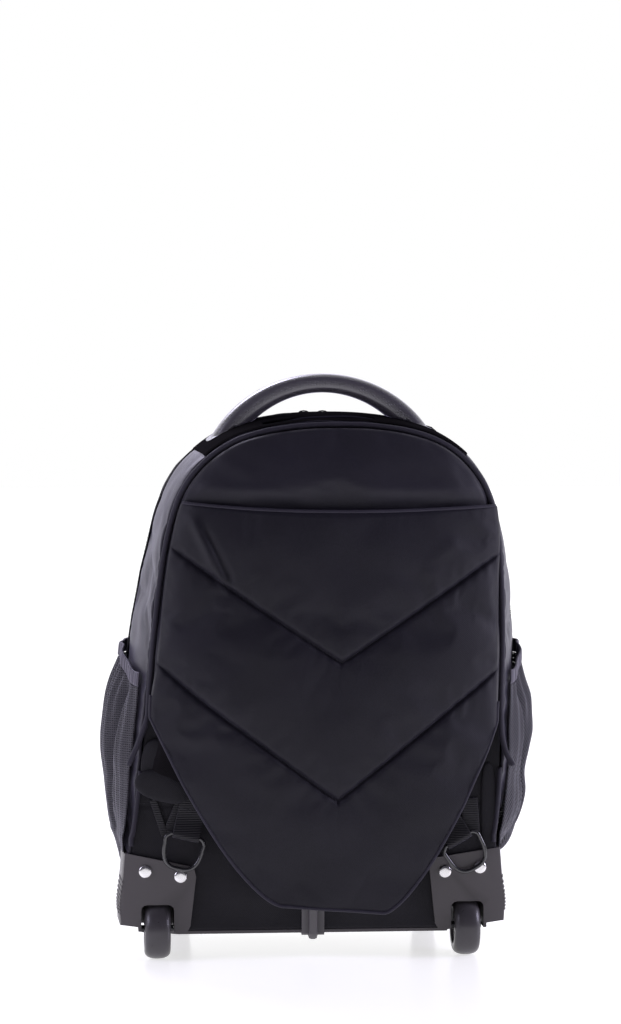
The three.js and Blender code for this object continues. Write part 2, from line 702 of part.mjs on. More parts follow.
// The piping that edges the cover. Its free ends flare out at both sides.
function coverPiping() {
  const inset = cover.pipe / 2;
  const y = -inset - gap;
  const over = seamStations
    .filter((s) => s.z > cover.cornerAt + 12)
    .map((s) => P(s.x - s.nx * inset + leanAt(s.z, 0), y, s.z - s.nz * inset));
  const [left, right] = pipingEnds.map(({ side, rows }) => rows.map((row) => {
    const z = cover.cornerAt - row.down;
    return P(side * (halfAt(z) - inset + row.out) + leanAt(cover.cornerAt, 0), y, z);
  }));
  return sweep([...left.reverse(), ...over, ...right], P(0, 1, 0), roundSection(inset));
}

// The thin piping of the rear seam, where it shows below the cover.
function seamPiping(side) {
  const radius = 2;
  const low = housing.high + 16;
  const high = cover.cornerAt - 40 - cover.pipe;
  const path = steps(4).map((t) => {
    const z = mix(low, high, t);
    return P(side * (halfAt(z) - radius - 0.5) + leanAt(z, 0), -radius - gap, z);
  });
  return sweep(path, P(0, 1, 0), roundSection(radius));
}

// The side pockets of net, gathered into an elastic binding at the rim
const netClear = zip.tooth + 2 * gap; // the net lies over the zip's coil
const netLow = (share) => mix(net.lowRear, net.lowFore, ease((share - 0.3) / 0.15));
const netRim = (share) => mix(net.rimRear, net.rimFore, ease(1.8 * share));
function netOut(share, up, fullest) {
  const across = Math.sin(Math.PI * share) ** 0.8;
  const fold = 0.5 + 0.5 * Math.sin(2 * Math.PI * net.gathers * share);
  const bulge = (fullest - net.fold) * read(netRows, "up", "out", up);
  return netClear + across * (bulge + net.fold * fold * ease(2 * up));
}
const netShares = steps(facets.net).map((t) => clamp(t, 1e-9, 1 - 1e-9));
function netPocket(side, fullest) {
  const grid = (out) => netRows.map(({ up }) => netShares.map((share) => {
    const z = mix(netLow(share), netRim(share), up);
    return flank(side, z, mix(net.from, net.to, share), netOut(share, up, fullest) + out);
  }));
  return sheet(grid(net.thick), grid(0));
}
function netBinding(side, fullest) {
  const grid = (out) => [0, 1].map((t) => netShares.map((share) => {
    const z = netRim(share) + gap + t * net.band;
    return flank(side, z, mix(net.from, net.to, share), netOut(share, 1, fullest) + out);
  }));
  return sheet(grid(net.thick + 0.6), grid(0));
}

// The carrying handle, and the tabs on the gusset that hold its feet
function crownPatch(stations, low, high, y0, y1) {
  const grid = (out) => steps(4).map((t) => stations.map((s) => skin(s, mix(y0, y1, t), out)));
  return sheet(grid(high), grid(low));
}
function handleTab(side) {
  const middle = handle.centre - leanAt(body.crown, handle.at) + side * handle.half;
  const past = seamStations.findIndex((s) => s.z > handle.legs - 0.25 * rise && s.x > middle);
  const half = handle.wide / 2 + 2;
  const stations = seamStations.slice(past - 1, past + 1);
  return crownPatch(stations, gap, gap + handle.tab, handle.at - half, handle.at + half);
}
function carryHandle() {
  const radius = (handle.half ** 2 + handle.rise ** 2) / (2 * handle.rise);
  const reach = Math.asin(handle.half / radius) * (1 + handle.sunk);
  const low = handle.legs + handle.rise - radius;
  const path = steps(14).map((t) => {
    const turn = mix(-reach, reach, t);
    const x = handle.centre + radius * Math.sin(turn);
    return P(x, handle.at, low + radius * Math.cos(turn));
  });
  const thick = (t) => handle.thick * mix(1, handle.thicker, ease(Math.abs(2 * t - 1)));
  const crown = seamStations.filter((s) => s.z > handle.legs - 0.25 * rise);
  const under = crownPatch(crown, -2.2 * handle.thick, 2 * gap + handle.tab, 0, zip.at);
  return cut(sweep(path, P(0, 1, 0), (t) => barSection(handle.wide, thick(t), 8, 0.6)), under);
}

// The pull-up handle, pushed down: two fixed tubes, two middle ones, and two inner ones with a grip
const tubeX = (side) => trolley.centre + side * trolley.half;
const stage = (k) => (trolley.outer - k * trolley.step) / 2;
const cupFloor = trolley.top + gap;
const gripLow = cupFloor + trolley.cup.floor + trolley.grip.play;
const fixedTube = (side) =>
  tubeBetween(tubeX(side), tubeAt, baseZ, trolley.top, stage(0), stage(0) - trolley.tube);
const middleTube = (side) =>
  tubeBetween(tubeX(side), tubeAt, baseZ + 13, gripLow - gap, stage(1), stage(1) - trolley.tube);
const innerTube = (side) => {
  const high = gripLow + trolley.grip.socket - gap;
  return tubeBetween(tubeX(side), tubeAt, baseZ + 17, high, stage(2), stage(2) - trolley.tube);
};
function trolleyCup() {
  const { half, deep, floor, high, wall: side } = trolley.cup;
  const [x, y] = [trolley.centre, tubeAt];
  const outer = block([x - half, y - deep / 2, cupFloor], [x + half, y + deep / 2, cupFloor + high]);
  const inner = block(
    [x - half + side, y - deep / 2 + side, cupFloor + floor],
    [x + half - side, y + deep / 2 - side, cupFloor + high + 1],
  );
  const holes = [-1, 1].map((s) =>
    tubeBetween(tubeX(s), y, cupFloor - 1, cupFloor + floor + 1, stage(1) + gap, 0));
  return cut(outer, inner, ...holes);
}
function trolleyGrip() {
  const { half, deep, wall: side } = trolley.cup;
  const { high, play, socket } = trolley.grip;
  const reach = half - side - play;
  const middle = gripLow + high / 2;
  const ends = [{ at: 1, slim: 0.84 }, { at: 0.985, slim: 0.94 }, { at: 0.95, slim: 1 }];
  const stops = [...ends.map((e) => ({ ...e, at: -e.at })), ...ends.reverse()];
  const rings = stops.map(({ at, slim }) =>
    barSection((deep - 2 * side - 2 * play) * slim, high * slim, 12, 0.45).map(([b, c]) =>
      P(trolley.centre + at * reach, tubeAt + b, middle + c)));
  const sockets = [-1, 1].map((s) =>
    tubeBetween(tubeX(s), tubeAt, gripLow - 1, gripLow + socket, stage(2) + gap, 0));
  return cut(loft(rings), ...sockets);
}

// Wheel housings: a rear plate that wraps the lower corner, with a well for the wheel

// One level of the plate, from its inner edge along the back, round the corner and up the flank.
function plateColumns(side, z, out) {
  const inner = housingInner + housing.splay * (housing.high - z);
  const back = [0, 0.035, 0.12, 0.4, 0.7].map((t) => P(side * mix(inner, halfAt(z), t), -out, z));
  const corner = turns([0, 45, 90]).map((turn) =>
    P(side * (halfAt(z) + out * Math.sin(turn)), -out * Math.cos(turn), z));
  const fore = [0.25, 0.5, 0.75, 1].map((t) =>
    flank(side, z, t * housing.side, out + housing.flare * t * t));
  return [...back, ...corner, ...fore];
}
function housingPlate(side) {
  const trim = [housing.round, 0.3 * housing.round]; // rounds the inner corners off
  const middle = (housingInner + body.half) / 2;
  const grid = (out) => {
    const level = plateColumns(side, housing.low, out);
    return steps(4).map((t) => level.map((p, j) => {
      const from = Math.min(Math.abs(p.x), body.half) - middle;
      const low = housing.low + housing.lowSlope * from + (trim[j] ?? 0);
      const high = housing.high + housing.highSlope * from - (trim[j] ?? 0);
      return plateColumns(side, mix(low, high, t), out)[j];
    }));
  };
  return sheet(grid(gap + housing.plate), grid(gap));
}
function housingRib(side, z) {
  const face = gap + housing.plate;
  const grid = (out) => [-rib.high / 2, rib.high / 2].map((dz) =>
    plateColumns(side, z + dz, out).slice(6).filter((p) => p.y < rib.reach));
  return sheet(grid(face + rib.proud), grid(face - rib.proud));
}
function wheelHousing(side) {
  const x = side * wheelX;
  const back = -gap - housing.plate;
  const reach = wellHalf + housing.cheek;
  const shell = block(
    [x - reach, back, floorClear],
    [x + reach, wellDepth + housing.cheek, wellRoof + housing.cheek],
  );
  const well = block([x - wellHalf, -gap, 0], [x + wellHalf, wellDepth, wellRoof]);
  const round = housing.mouthRound;
  const corner = (way, turn) =>
    Q(way * (wellHalf - round + round * Math.cos(turn)), housing.mouth - round + round * Math.sin(turn));
  const arch = new THREE.Shape([
    Q(-wellHalf, -1), Q(wellHalf, -1),
    ...turns([0, 30, 60, 90]).map((turn) => corner(1, turn)),
    ...turns([90, 60, 30, 0]).map((turn) => corner(-1, turn)),
  ]);
  const through = { depth: 2 * housing.plate, bevelEnabled: false, steps: 1 };
  const mouth = new THREE.ExtrudeGeometry(arch, through).rotateX(Math.PI / 2);
  mouth.translate(x, housing.plate / 2 - gap, 0);
  const ribs = Array.from({ length: rib.count }, (_, i) =>
    housingRib(side, rib.middle + (i - (rib.count - 1) / 2) * rib.pitch));
  return cut(join(housingPlate(side), shell, ...ribs), well, mouth);
}

function rivetHead(side, { fromSide, z }) {
  const profile = [[0, 0], [rivet.radius, 0], [rivet.radius, -0.3 * rivet.high],
    [0.72 * rivet.radius, -0.85 * rivet.high], [0, -rivet.high]];
  const at = [side * (body.half - fromSide), -2 * gap - housing.plate, z];
  return turned("y", at, profile, facets.tube);
}

// Wheels, turned about X
const wheelAt = (side) => [side * wheelX, wheel.inset, wheel.radius];
function tyre(side) {
  const half = wheel.width / 2;
  const [inner, outer] = [wheel.hub + gap, wheel.radius];
  const flankOf = [[0, 0.75], [0.2, 0.96], [0.5, 0.98], [0.85, 0.7]];
  const profile = flankOf.map(([up, across]) => [mix(inner, outer, up), -across * half]);
  const mirrored = profile.map(([r, a]) => [r, -a]).reverse();
  return turned("x", wheelAt(side), [...profile, [outer, 0], ...mirrored], facets.wheel);
}
function hub(side) {
  const half = 0.75 * (wheel.width / 2);
  const dish = 0.45 * half;
  const profile = [[wheel.bore, -half], [wheel.rim, -half], [wheel.rim + 1.5, -dish],
    [wheel.hub - 2, -dish], [wheel.hub, -half]];
  const mirrored = profile.map(([r, a]) => [r, -a]).reverse();
  return turned("x", wheelAt(side), [...profile, ...mirrored], facets.wheel);
}
function axle(side) {
  const reach = wellHalf - gap;
  const profile = [[0, -reach], [wheel.pin, -reach], [wheel.pin, reach], [0, reach]];
  return turned("x", wheelAt(side), profile, facets.tube);
}

// The rail down the middle of the lower back, which wraps under the base
function kickRail() {
  const side = [
    [rail.half, 0], [rail.half, rail.plate], [rail.ridge, rail.plate],
    [0.8 * rail.ridge, 0.85 * rail.proud], [0.35 * rail.ridge, rail.proud],
  ];
  const section = [...side, ...side.map(([a, b]) => [-a, b]).reverse()];
  const under = floorClear - gap;
  const path = [
    P(0, -gap, rail.high), P(0, -gap, mix(rail.high, floorClear, 0.5)), P(0, -gap, floorClear + 3),
    P(0, -gap, floorClear), P(0, 0, under), P(0, 3, under), P(0, rail.reach, under),
  ];
  return sweep(path, P(1, 0, 0), section);
}

function frontFoot(side) {
  const at = [side * (body.half - foot.fromSide), body.depth - foot.fromFront, 0];
  const profile = [[0, 0], [foot.base - foot.round, 0], [foot.base, foot.round],
    [foot.top, floorClear - gap], [0, floorClear - gap]];
  return turned("z", at, profile, facets.foot);
}

// Straps stowed under the cover
function shoulderStrap(column) {
  const length = strapRows[strapRows.length - 1].fall;
  const across = (t, value) => body.half * read(strapRows, "fall", value, t * length);
  const path = steps(10).map((t) =>
    P(across(t, column), -gap - strap.pad / 2, heightAt(strapTop - t * length)));
  return sweep(path, P(0, 1, 0), (t) => barSection(strap.pad, across(t, "wide"), 8, 0.5));
}
// A place on the back wall from a row of shares.
const onBack = ({ across, up }, y) => P(across * body.half, y, heightAt(up));
// A webbing that lies flat on the back wall between two places.
function flatWeb(ends, wide) {
  const [from, to] = ends.map((end) => onBack(end, -gap - strap.webThick / 2));
  const path = steps(2).map((t) => from.clone().lerp(to, t));
  return sweep(path, P(0, 1, 0), flatSection(strap.webThick, wide));
}
// The rings hang just clear of the rivet heads.
const ringAt = -(3 * gap + housing.plate + rivet.high + ring.wire / 2);
const turnedBy = (tilt, [x, y, z]) => P(x, y, z).applyAxisAngle(P(0, 1, 0), THREE.MathUtils.degToRad(tilt));
const tilted = (place, p) => turnedBy(place.tilt, p).add(onBack(place, 0));
function strapRing(place) {
  const bend = 0.22 * ring.half;
  const bow = steps(10).slice(1, -1).map((t) => {
    const turn = Math.PI * t;
    const wide = Math.sign(Math.cos(turn)) * Math.abs(Math.cos(turn)) ** 0.7;
    return [ring.half * wide, ringAt, -ring.drop * Math.sin(turn) ** 0.6];
  });
  const straight = [-1, 0, 1].map((t) => [t * (ring.half - bend), ringAt, 0]);
  const loop = [...straight, [ring.half, ringAt, -bend], ...bow, [-ring.half, ringAt, -bend]];
  return sweep(loop.map((p) => tilted(place, p)), P(0, 1, 0), roundSection(ring.wire / 2), true);
}
// The webbing folded round a ring's straight bar; its two legs run up together.
function ringWeb(place) {
  const round = ring.wire / 2 + gap + strap.webThick / 2;
  const near = -(2 * gap + 1.5 * strap.webThick); // the leg on the wall's side, over a flat webbing
  const far = near - gap - strap.webThick;
  const fold = steps(6).map((t) => {
    const turn = Math.PI * t;
    return [0, ringAt - round * Math.cos(turn), -round * Math.sin(turn)];
  });
  const legs = [[0, far, 38], [0, far, 14], ...fold, [0, near, 14], [0, near, 30]];
  const across = turnedBy(place.tilt, [1, 0, 0]);
  return sweep(legs.map((p) => tilted(place, p)), across, flatSection(strap.web, strap.webThick));
}

// Parts are gathered here.
const bag = new THREE.Group();
const looks = {
  nylon: { color: 0x24232b, roughness: 0.62, metalness: 0 },
  lining: { color: 0x1b1a1f, roughness: 0.85, metalness: 0 },
  net: { color: 0x2c2b33, roughness: 0.75, metalness: 0 },
  web: { color: 0x232024, roughness: 0.8, metalness: 0 },
  grip: { color: 0x2a282c, roughness: 0.5, metalness: 0 },
  plastic: { color: 0x39353b, roughness: 0.5, metalness: 0 },
  rubber: { color: 0x2b2a2e, roughness: 0.45, metalness: 0 },
  ringMetal: { color: 0x1c1c20, roughness: 0.25, metalness: 0.8 },
  rivetMetal: { color: 0xd8d8d8, roughness: 0.25, metalness: 1 },
  steel: { color: 0x9a9a9e, roughness: 0.35, metalness: 1 },
  tube: { color: 0xa6a7aa, roughness: 0.35, metalness: 0.9 },
};
function add(name, geometry, look) {
  const made = new THREE.Mesh(geometry, new THREE.MeshStandardMaterial(looks[look]));
  made.name = name;
  bag.add(made);
}

add("back_wall", backWall(), "nylon");
add("rear_gusset", rearGusset(), "nylon");
add("main_zip", mainZip(), "lining");
add("front_gusset", frontGusset(), "nylon");
add("front_panel", frontPanel(), "nylon");
add("front_pouch", frontPouch(), "nylon");
add("pouch_zip", pouchZip(), "lining");
add("pouch_zip_pull", pouchPull(), "plastic");
add("base_board", baseBoardPlate(), "plastic");
add("kick_rail", kickRail(), "plastic");
add("cover_panel", coverPanel(), "nylon");
add("cover_flap", quiltedFlap(), "nylon");
add("cover_piping", coverPiping(), "nylon");
add("carry_handle", carryHandle(), "grip");
add("trolley_cup", trolleyCup(), "plastic");
add("trolley_grip", trolleyGrip(), "plastic");
for (const { side, name, bulge, ring: place, narrow, tail } of lowerParts) {
  add(`zip_pull_${name}`, mainPull(side), "plastic");
  add(`seam_piping_${name}`, seamPiping(side), "nylon");
  add(`net_pocket_${name}`, netPocket(side, bulge), "net");
  add(`net_binding_${name}`, netBinding(side, bulge), "web");
  add(`handle_tab_${name}`, handleTab(side), "web");
  add(`trolley_tube_${name}`, fixedTube(side), "tube");
  add(`trolley_mid_${name}`, middleTube(side), "tube");
  add(`trolley_inner_${name}`, innerTube(side), "tube");
  add(`shoulder_strap_${name}`, shoulderStrap(name), "nylon");
  add(`strap_web_${name}`, flatWeb(narrow, strap.narrow), "web");
  add(`web_tail_${name}`, flatWeb(tail, strap.tail), "web");
  add(`ring_web_${name}`, ringWeb(place), "web");
  add(`strap_ring_${name}`, strapRing(place), "ringMetal");
  add(`wheel_housing_${name}`, wheelHousing(side), "plastic");
  add(`rivet_outer_${name}`, rivetHead(side, rivet.outer), "rivetMetal");
  add(`rivet_inner_${name}`, rivetHead(side, rivet.inner), "rivetMetal");
  add(`tyre_${name}`, tyre(side), "rubber");
  add(`hub_${name}`, hub(side), "plastic");
  add(`axle_${name}`, axle(side), "steel");
  add(`front_foot_${name}`, frontFoot(side), "rubber");
}

// The origin goes to the middle of the bag's footprint, on the floor.
const bounds = new THREE.Box3().setFromObject(bag);
const middle = bounds.getCenter(new THREE.Vector3());
bag.position.set(-middle.x, -middle.y, -bounds.min.z);

export default bag;
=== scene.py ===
# The looks of a wheeled school backpack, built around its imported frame.
# Metres, +Z up, the bag's back with the quilted cover towards -Y.
import math
from contextlib import contextmanager

import bmesh
import bpy
import numpy as np
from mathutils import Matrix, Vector, noise


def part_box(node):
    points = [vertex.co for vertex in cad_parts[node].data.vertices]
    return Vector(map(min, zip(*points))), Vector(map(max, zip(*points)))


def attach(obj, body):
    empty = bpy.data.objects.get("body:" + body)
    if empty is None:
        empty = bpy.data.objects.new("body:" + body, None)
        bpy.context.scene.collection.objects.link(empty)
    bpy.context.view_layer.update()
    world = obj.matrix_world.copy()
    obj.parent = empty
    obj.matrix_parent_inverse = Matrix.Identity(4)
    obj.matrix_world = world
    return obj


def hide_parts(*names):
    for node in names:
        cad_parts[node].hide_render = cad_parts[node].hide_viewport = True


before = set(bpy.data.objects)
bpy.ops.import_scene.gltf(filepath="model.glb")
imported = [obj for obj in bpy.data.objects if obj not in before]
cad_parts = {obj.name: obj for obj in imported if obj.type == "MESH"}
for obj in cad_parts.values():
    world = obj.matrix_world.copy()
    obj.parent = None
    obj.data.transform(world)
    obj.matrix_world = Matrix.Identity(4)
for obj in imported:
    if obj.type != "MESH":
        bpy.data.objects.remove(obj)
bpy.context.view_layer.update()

# Driving dimensions, as in the part's source
GAP = 0.0003
CLOTH = 0.0024
FLOOR_CLEAR = 0.022
BASE_BOARD = 0.003
BASE_UPTURN = 0.009
WALL = 0.004
BODY_HALF = 0.158
CROWN = 0.4506
DEPTH = 0.148
SWELL = 0.0155
LEAN = 0.0205
LEAN_FROM = 0.104
LEAN_FADE = 0.2
LEAN_POWER = 0.62
CROWN_ROUND = 0.008
ZIP_AT = 0.062
ZIP_WIDTH = 0.012
TOOTH = 0.0014
COVER_BULGE = 0.026
COVER_EDGE = 0.0086
COVER_FREE_EDGE = 0.0126
PIPE = 0.0052
SHEET = 0.0024
SHEET_FOOT = 0.214
FLAP = 0.007
FLAP_EDGE = 0.0032
COVER_CENTRE = 0.0088
COVER_HALF = 0.145
CORNER_AT = 0.205
GROOVE, PUFF, PUCKER = 0.0034, 0.0016, 0.0002
GROOVE_WIDE, PUFF_WIDE, PUCKER_WIDE = 0.0022, 0.013, 0.011
HANDLE_CENTRE = 0.011
HANDLE_HALF = 0.077
HANDLE_LEGS = 0.4445
HANDLE_RISE = 0.038
HANDLE_SUNK = 0.27
HANDLE_WIDE = 0.026
HANDLE_THICK = 0.016
HANDLE_THICKER = 1.3
HANDLE_AT = 0.04
HANDLE_TAB = 0.002
TUBE_CENTRE = 0.006
CUP_HALF = 0.047
CUP_DEEP = 0.016
TUBE_AT = WALL + GAP + 0.008
WHEEL_RADIUS = 0.025
WHEEL_WIDTH = 0.023
WHEEL_AT = 0.130
WHEEL_INSET = 0.013
HUB_RADIUS = 0.0145
RIM_RADIUS = 0.008
WHEEL_BORE = 0.0033
PIN_RADIUS = 0.003
WELL_HALF = WHEEL_WIDTH / 2 + 0.0022
WELL_ROOF = 2 * WHEEL_RADIUS + 0.0025
WELL_CHEEK = 0.0025
HOUSING_PLATE = 0.003
HOUSING_HIGH = 0.081
HOUSING_INNER = 0.0966
HOUSING_LIFT, HOUSING_SLOPE, HOUSING_ROUND = 0.0015, 0.035, 0.0024
HOUSING_TOP_LIFT = {"left": (0.0035, 0.002), "right": (0.005, 0.0075)}
RIVET_RADIUS = 0.0054
RIVET_HIGH = 0.0022
RIVETS = {"outer": (0.1405, 0.074), "inner": (0.111, 0.0685)}
RIVET_LIFT = {"outer_left": 0.0017, "inner_left": 0.0027, "outer_right": 0.0021, "inner_right": 0.0044}
FOOT_X, FOOT_Y = 0.108, 0.133
PULL_ASIDE, PULL_DROP, PULL_FLAT, TAB_DROP = 0.004, 0.0052, 0.6, 0.002
FOOT_TOP, FOOT_BASE, FOOT_ROUND = 0.012, 0.0095, 0.002
NET_THICK = 0.0015
NET_FROM, NET_TO = 0.007, 0.124
NET_LOW_REAR, NET_LOW_FORE = 0.091, 0.077
NET_RIM_REAR, NET_RIM_FORE = 0.229, 0.249
NET_BAND = 0.012
NET_GATHERS = 3.5
NET_FOLD = 0.0026
NET_BULGE = {"left": 0.0149, "right": 0.0204}
STRAP_PAD = 0.0085
WEB_WIDE, WEB_THICK = 0.023, 0.0016
WEB_NARROW, WEB_TAIL, WEB_BOW = 0.006, 0.0145, 0.00072
RING_HALF, RING_DROP, RING_WIRE = 0.0162, 0.028, 0.0035
POUCH_HALF, POUCH_LOW, POUCH_HIGH, POUCH_BULGE = 0.122, 0.046, 0.268, 0.028
SIDES = {"left": -1, "right": 1}
THINNER = 0.0004  # how much thinner the shown cloth is than its solid
FORWARD, BACKWARD = np.array([0, 1, 0]), np.array([0, -1, 0])

# Tables of shares, in rows of (place, value) unless a line says otherwise
SEAM_ROWS = [(0.0, 1.0), (0.08, 0.987), (0.155, 0.979), (0.32, 0.969), (0.46, 0.951), (0.58, 0.941),
             (0.705, 0.917), (0.805, 0.876), (0.874, 0.812), (0.926, 0.705), (0.966, 0.553),
             (0.987, 0.38), (0.9975, 0.187), (1.0, 0.0)]
SWELL_ROWS = [(0.0, 0.0), (0.1, 0.38), (0.22, 0.7), (0.4, 0.96), (0.6, 1.0), (0.8, 0.84), (1.0, 0.42)]
SWELL_LOW, SWELL_OVER = 0.12, 0.22
SWELL_CROWN, SWELL_CROWN_FROM, SWELL_CROWN_OVER = 0.62, 0.5, 0.4
BULGE_ROWS = [(0.0, 0.32), (0.12, 0.55), (0.25, 0.85), (0.4, 1.0), (0.6, 1.0), (0.8, 0.86),
              (0.92, 0.5), (1.0, 0.1)]
NET_ROWS = {
    "left": [(0.0, 0.0), (0.05, 0.18), (0.12, 0.36), (0.2, 0.62), (0.3, 0.7), (0.42, 0.66), (0.54, 0.87),
             (0.65, 1.0), (0.8, 0.92), (0.9, 0.62), (1.0, 0.12)],
    "right": [(0.0, 0.0), (0.05, 0.6), (0.12, 0.9), (0.2, 1.0), (0.3, 0.88), (0.42, 0.56), (0.54, 0.62),
              (0.65, 0.78), (0.8, 0.66), (0.9, 0.34), (1.0, 0.08)],
}
# The flap's rows: height at its left side, its middle and its right side, power, and if it is sewn
FLAP_ROWS = [(0.841, 0.824, 0.834, 2.0, 0), (0.8, 0.69, 0.79, 1.3, 0), (0.757, 0.532, 0.741, 1.0, 1),
             (0.7, 0.45, 0.69, 1.0, 0), (0.6, 0.34, 0.58, 1.0, 0), (0.53, 0.262, 0.515, 1.0, 1),
             (0.49, 0.19, 0.47, 1.1, 0), (0.455, 0.11, 0.44, 1.3, 0), (0.424, 0.046, 0.41, 1.5, 0)]
FLAP_STEPS = [10, 20, 14, 16, 18, 12, 12, 12]  # rows of points from each of them to the next
FLAP_TIP = 0.065
FLAP_LAP = 0.0075
FLAP_FOOT = 0.29
FOOT_TILT = 0.008
# Stowed straps: fall, left middle, right middle, width
STRAP_TOP = 0.88
STRAP_ROWS = [(0.0, -0.2, 0.31, 0.33), (0.14, -0.33, 0.42, 0.35), (0.28, -0.49, 0.53, 0.35),
              (0.4, -0.6, 0.62, 0.32), (0.51, -0.705, 0.655, 0.29), (0.592, -0.765, 0.69, 0.27)]
# Lower strap parts: ring (x, z, clockwise tilt in degrees), ends of the narrow webbing and the tail
LOWER_PARTS = {
    "left": {"ring": (-0.1065, 0.1055, 13), "narrow": ((-0.134, 0.136), (-0.124, 0.106)),
             "tail": ((-0.102, 0.146), (-0.119, 0.106))},
    "right": {"ring": (0.122, 0.1005, -30), "narrow": ((0.106, 0.140), (0.104, 0.112)),
              "tail": ((0.1315, 0.134), (0.1335, 0.106))},
}
# Soft ends of straps beside the flap: name, look, ends as (x, z, half width), thickness, stand-off
SOFT_ENDS = [
    ("strap_under_left", "back", ((-0.132, 0.186, 0.008), (-0.131, 0.170, 0.0125), (-0.1295, 0.152, 0.015)),
     0.005, 0.0),
    ("strap_fold_left", "back", ((-0.149, 0.152, 0.009), (-0.128, 0.1475, 0.0125), (-0.104, 0.138, 0.008)),
     0.006, 0.003),
    ("back_margin_right", "back", ((0.1475, 0.164, 0.0054), (0.148, 0.128, 0.0062), (0.149, 0.088, 0.0066)),
     0.0022, 0.0),
]
# The piping's free ends: side, then rows of (out, down)
PIPING_ENDS = [(-1, ((0.0, 0.002), (0.006, 0.022), (0.013, 0.040))),
               (1, ((0.0, 0.002), (0.0, 0.018), (0.0035, 0.034), (0.0085, 0.043)))]
# The pouch zip's tape: share of the way out from the pouch's middle, and how far it stands proud
POUCH_ZIP_ROWS = ((0.9, 0.0), (0.875, 0.0004), (0.86, 0.0012), (0.84, 0.0012), (0.825, 0.0004), (0.8, 0.0))
PATCH_OUT = 0.0021
CROWN_SHADE_FROM = 0.93  # height where the dark patch of painted shade on the crown starts, as a share of the rise

# Derived sizes
BASE_Z = FLOOR_CLEAR + BASE_BOARD + GAP
RISE = CROWN - BASE_Z
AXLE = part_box("axle_left")
SHIFT = np.array((AXLE[0] + AXLE[1]) / 2) - np.array((-WHEEL_AT, WHEEL_INSET, WHEEL_RADIUS))


# Numbers and curves

def ease(v):
    t = np.clip(v, 0, 1)
    return t * t * (3 - 2 * t)


def mix(a, b, t):
    return a + (b - a) * t


def hermite(t, start, leave, end, arrive, step=1.0):
    """A cubic curve from start to end, from its slopes there and the step's length."""
    return ((2 * t**3 - 3 * t**2 + 1) * start + (t**3 - 2 * t**2 + t) * step * leave
            + (3 * t**2 - 2 * t**3) * end + (t**3 - t**2) * step * arrive)


def read(rows, at):
    """A smooth reading of a table at one place or an array of places."""
    k, v = (np.array(c, float) for c in zip(*rows))
    slope = np.empty(len(k))
    slope[1:-1] = (v[2:] - v[:-2]) / (k[2:] - k[:-2])
    slope[[0, -1]] = (v[[1, -1]] - v[[0, -2]]) / (k[[1, -1]] - k[[0, -2]])
    at = np.clip(at, k[0], k[-1])
    i = np.clip(np.searchsorted(k, at, side="right") - 1, 0, len(k) - 2)
    step = k[i + 1] - k[i]
    return hermite((at - k[i]) / step, v[i], slope[i], v[i + 1], slope[i + 1], step)


def smooth_curve(points, count, dense=24):
    """A centripetal curve through the points, resampled to evenly spaced ones."""
    p = np.array(points, float)
    p = np.vstack([2 * p[0] - p[1], p, 2 * p[-1] - p[-2]])
    made = []
    for a, b, c, d in zip(p[:-3], p[1:-2], p[2:-1], p[3:]):
        d0, d1, d2 = (max(np.linalg.norm(q - r) ** 0.5, 1e-6) for q, r in ((a, b), (b, c), (c, d)))
        m1 = ((b - a) / d0 - (c - a) / (d0 + d1) + (c - b) / d1) * d1
        m2 = ((c - b) / d1 - (d - b) / (d1 + d2) + (d - c) / d2) * d1
        t = np.linspace(0, 1, dense, endpoint=False)[:, None]
        made.append(hermite(t, b, m1, c, m2))
    return resample(np.vstack([*made, p[-2:-1]]), count)


def resample(line, count):
    length = np.concatenate([[0], np.cumsum(np.linalg.norm(np.diff(line, axis=0), axis=1))])
    at = np.linspace(0, length[-1], count)
    return np.stack([np.interp(at, length, line[:, k]) for k in range(line.shape[1])], axis=1)


# The bag's outside, in the source's own frame

def height_at(share):
    return BASE_Z + share * RISE


def share_at(z):
    return (z - BASE_Z) / RISE


def reach_at(z, y):
    above = ease((z - HOUSING_HIGH) / (SWELL_OVER * RISE))
    crown = ease((share_at(z) - SWELL_CROWN_FROM) / SWELL_CROWN_OVER)
    share = mix(SWELL_LOW, 1, above) - SWELL_CROWN * crown
    return read(SWELL_ROWS, y / DEPTH) * share * SWELL


def half_at(z):
    return BODY_HALF * read(SEAM_ROWS, share_at(z))


def lean_at(z, y):
    up = np.clip((z - LEAN_FROM) / (CROWN - LEAN_FROM), 0, 1)
    return LEAN * up**LEAN_POWER * (1 - LEAN_FADE * ease(3 * y / DEPTH) * up**3)


def seam_stations(count):
    """Rows of (x, z, normal x, normal z) from the left foot over the crown to the right foot."""
    left = [(-BODY_HALF * half, height_at(rise)) for rise, half in SEAM_ROWS]
    right = [(-x, z) for x, z in left[-2::-1]]
    line = smooth_curve(left + right, count)
    along = np.gradient(line, axis=0)
    along /= np.linalg.norm(along, axis=1)[:, None]
    return np.column_stack([line, -along[:, 1], along[:, 0]])


def base_edge(x):
    """Height of the cloth's lowest edge: the base turns up a little at its sides."""
    return BASE_Z + BASE_UPTURN * ease((np.abs(x) - 0.118) / 0.03)


def skin(stations, y, out):
    """Points of the side and top, out metres proud of the cloth; y and out may be arrays."""
    x, z, nx, nz = stations.T
    reach = reach_at(z, y) + out
    up = np.maximum(z + nz * reach, base_edge(x))
    return np.stack([x + nx * reach + lean_at(z, y), np.broadcast_to(y, x.shape), up], axis=-1)


def flank(side, z, y, out):
    x = side * (half_at(z) + reach_at(z, y) + out) + lean_at(z, y)
    return np.stack(np.broadcast_arrays(x, y, z), axis=-1)


def crown_height(x, y, out, stations):
    """Height of the bag's top over one point."""
    line = skin(stations, y, out)
    top = line[line[:, 2] > height_at(0.6)]
    return np.interp(x, top[:, 0], top[:, 2])


# Making objects

def linked(name, data):
    made = bpy.data.objects.new(name, data)
    bpy.context.scene.collection.objects.link(made)
    return made


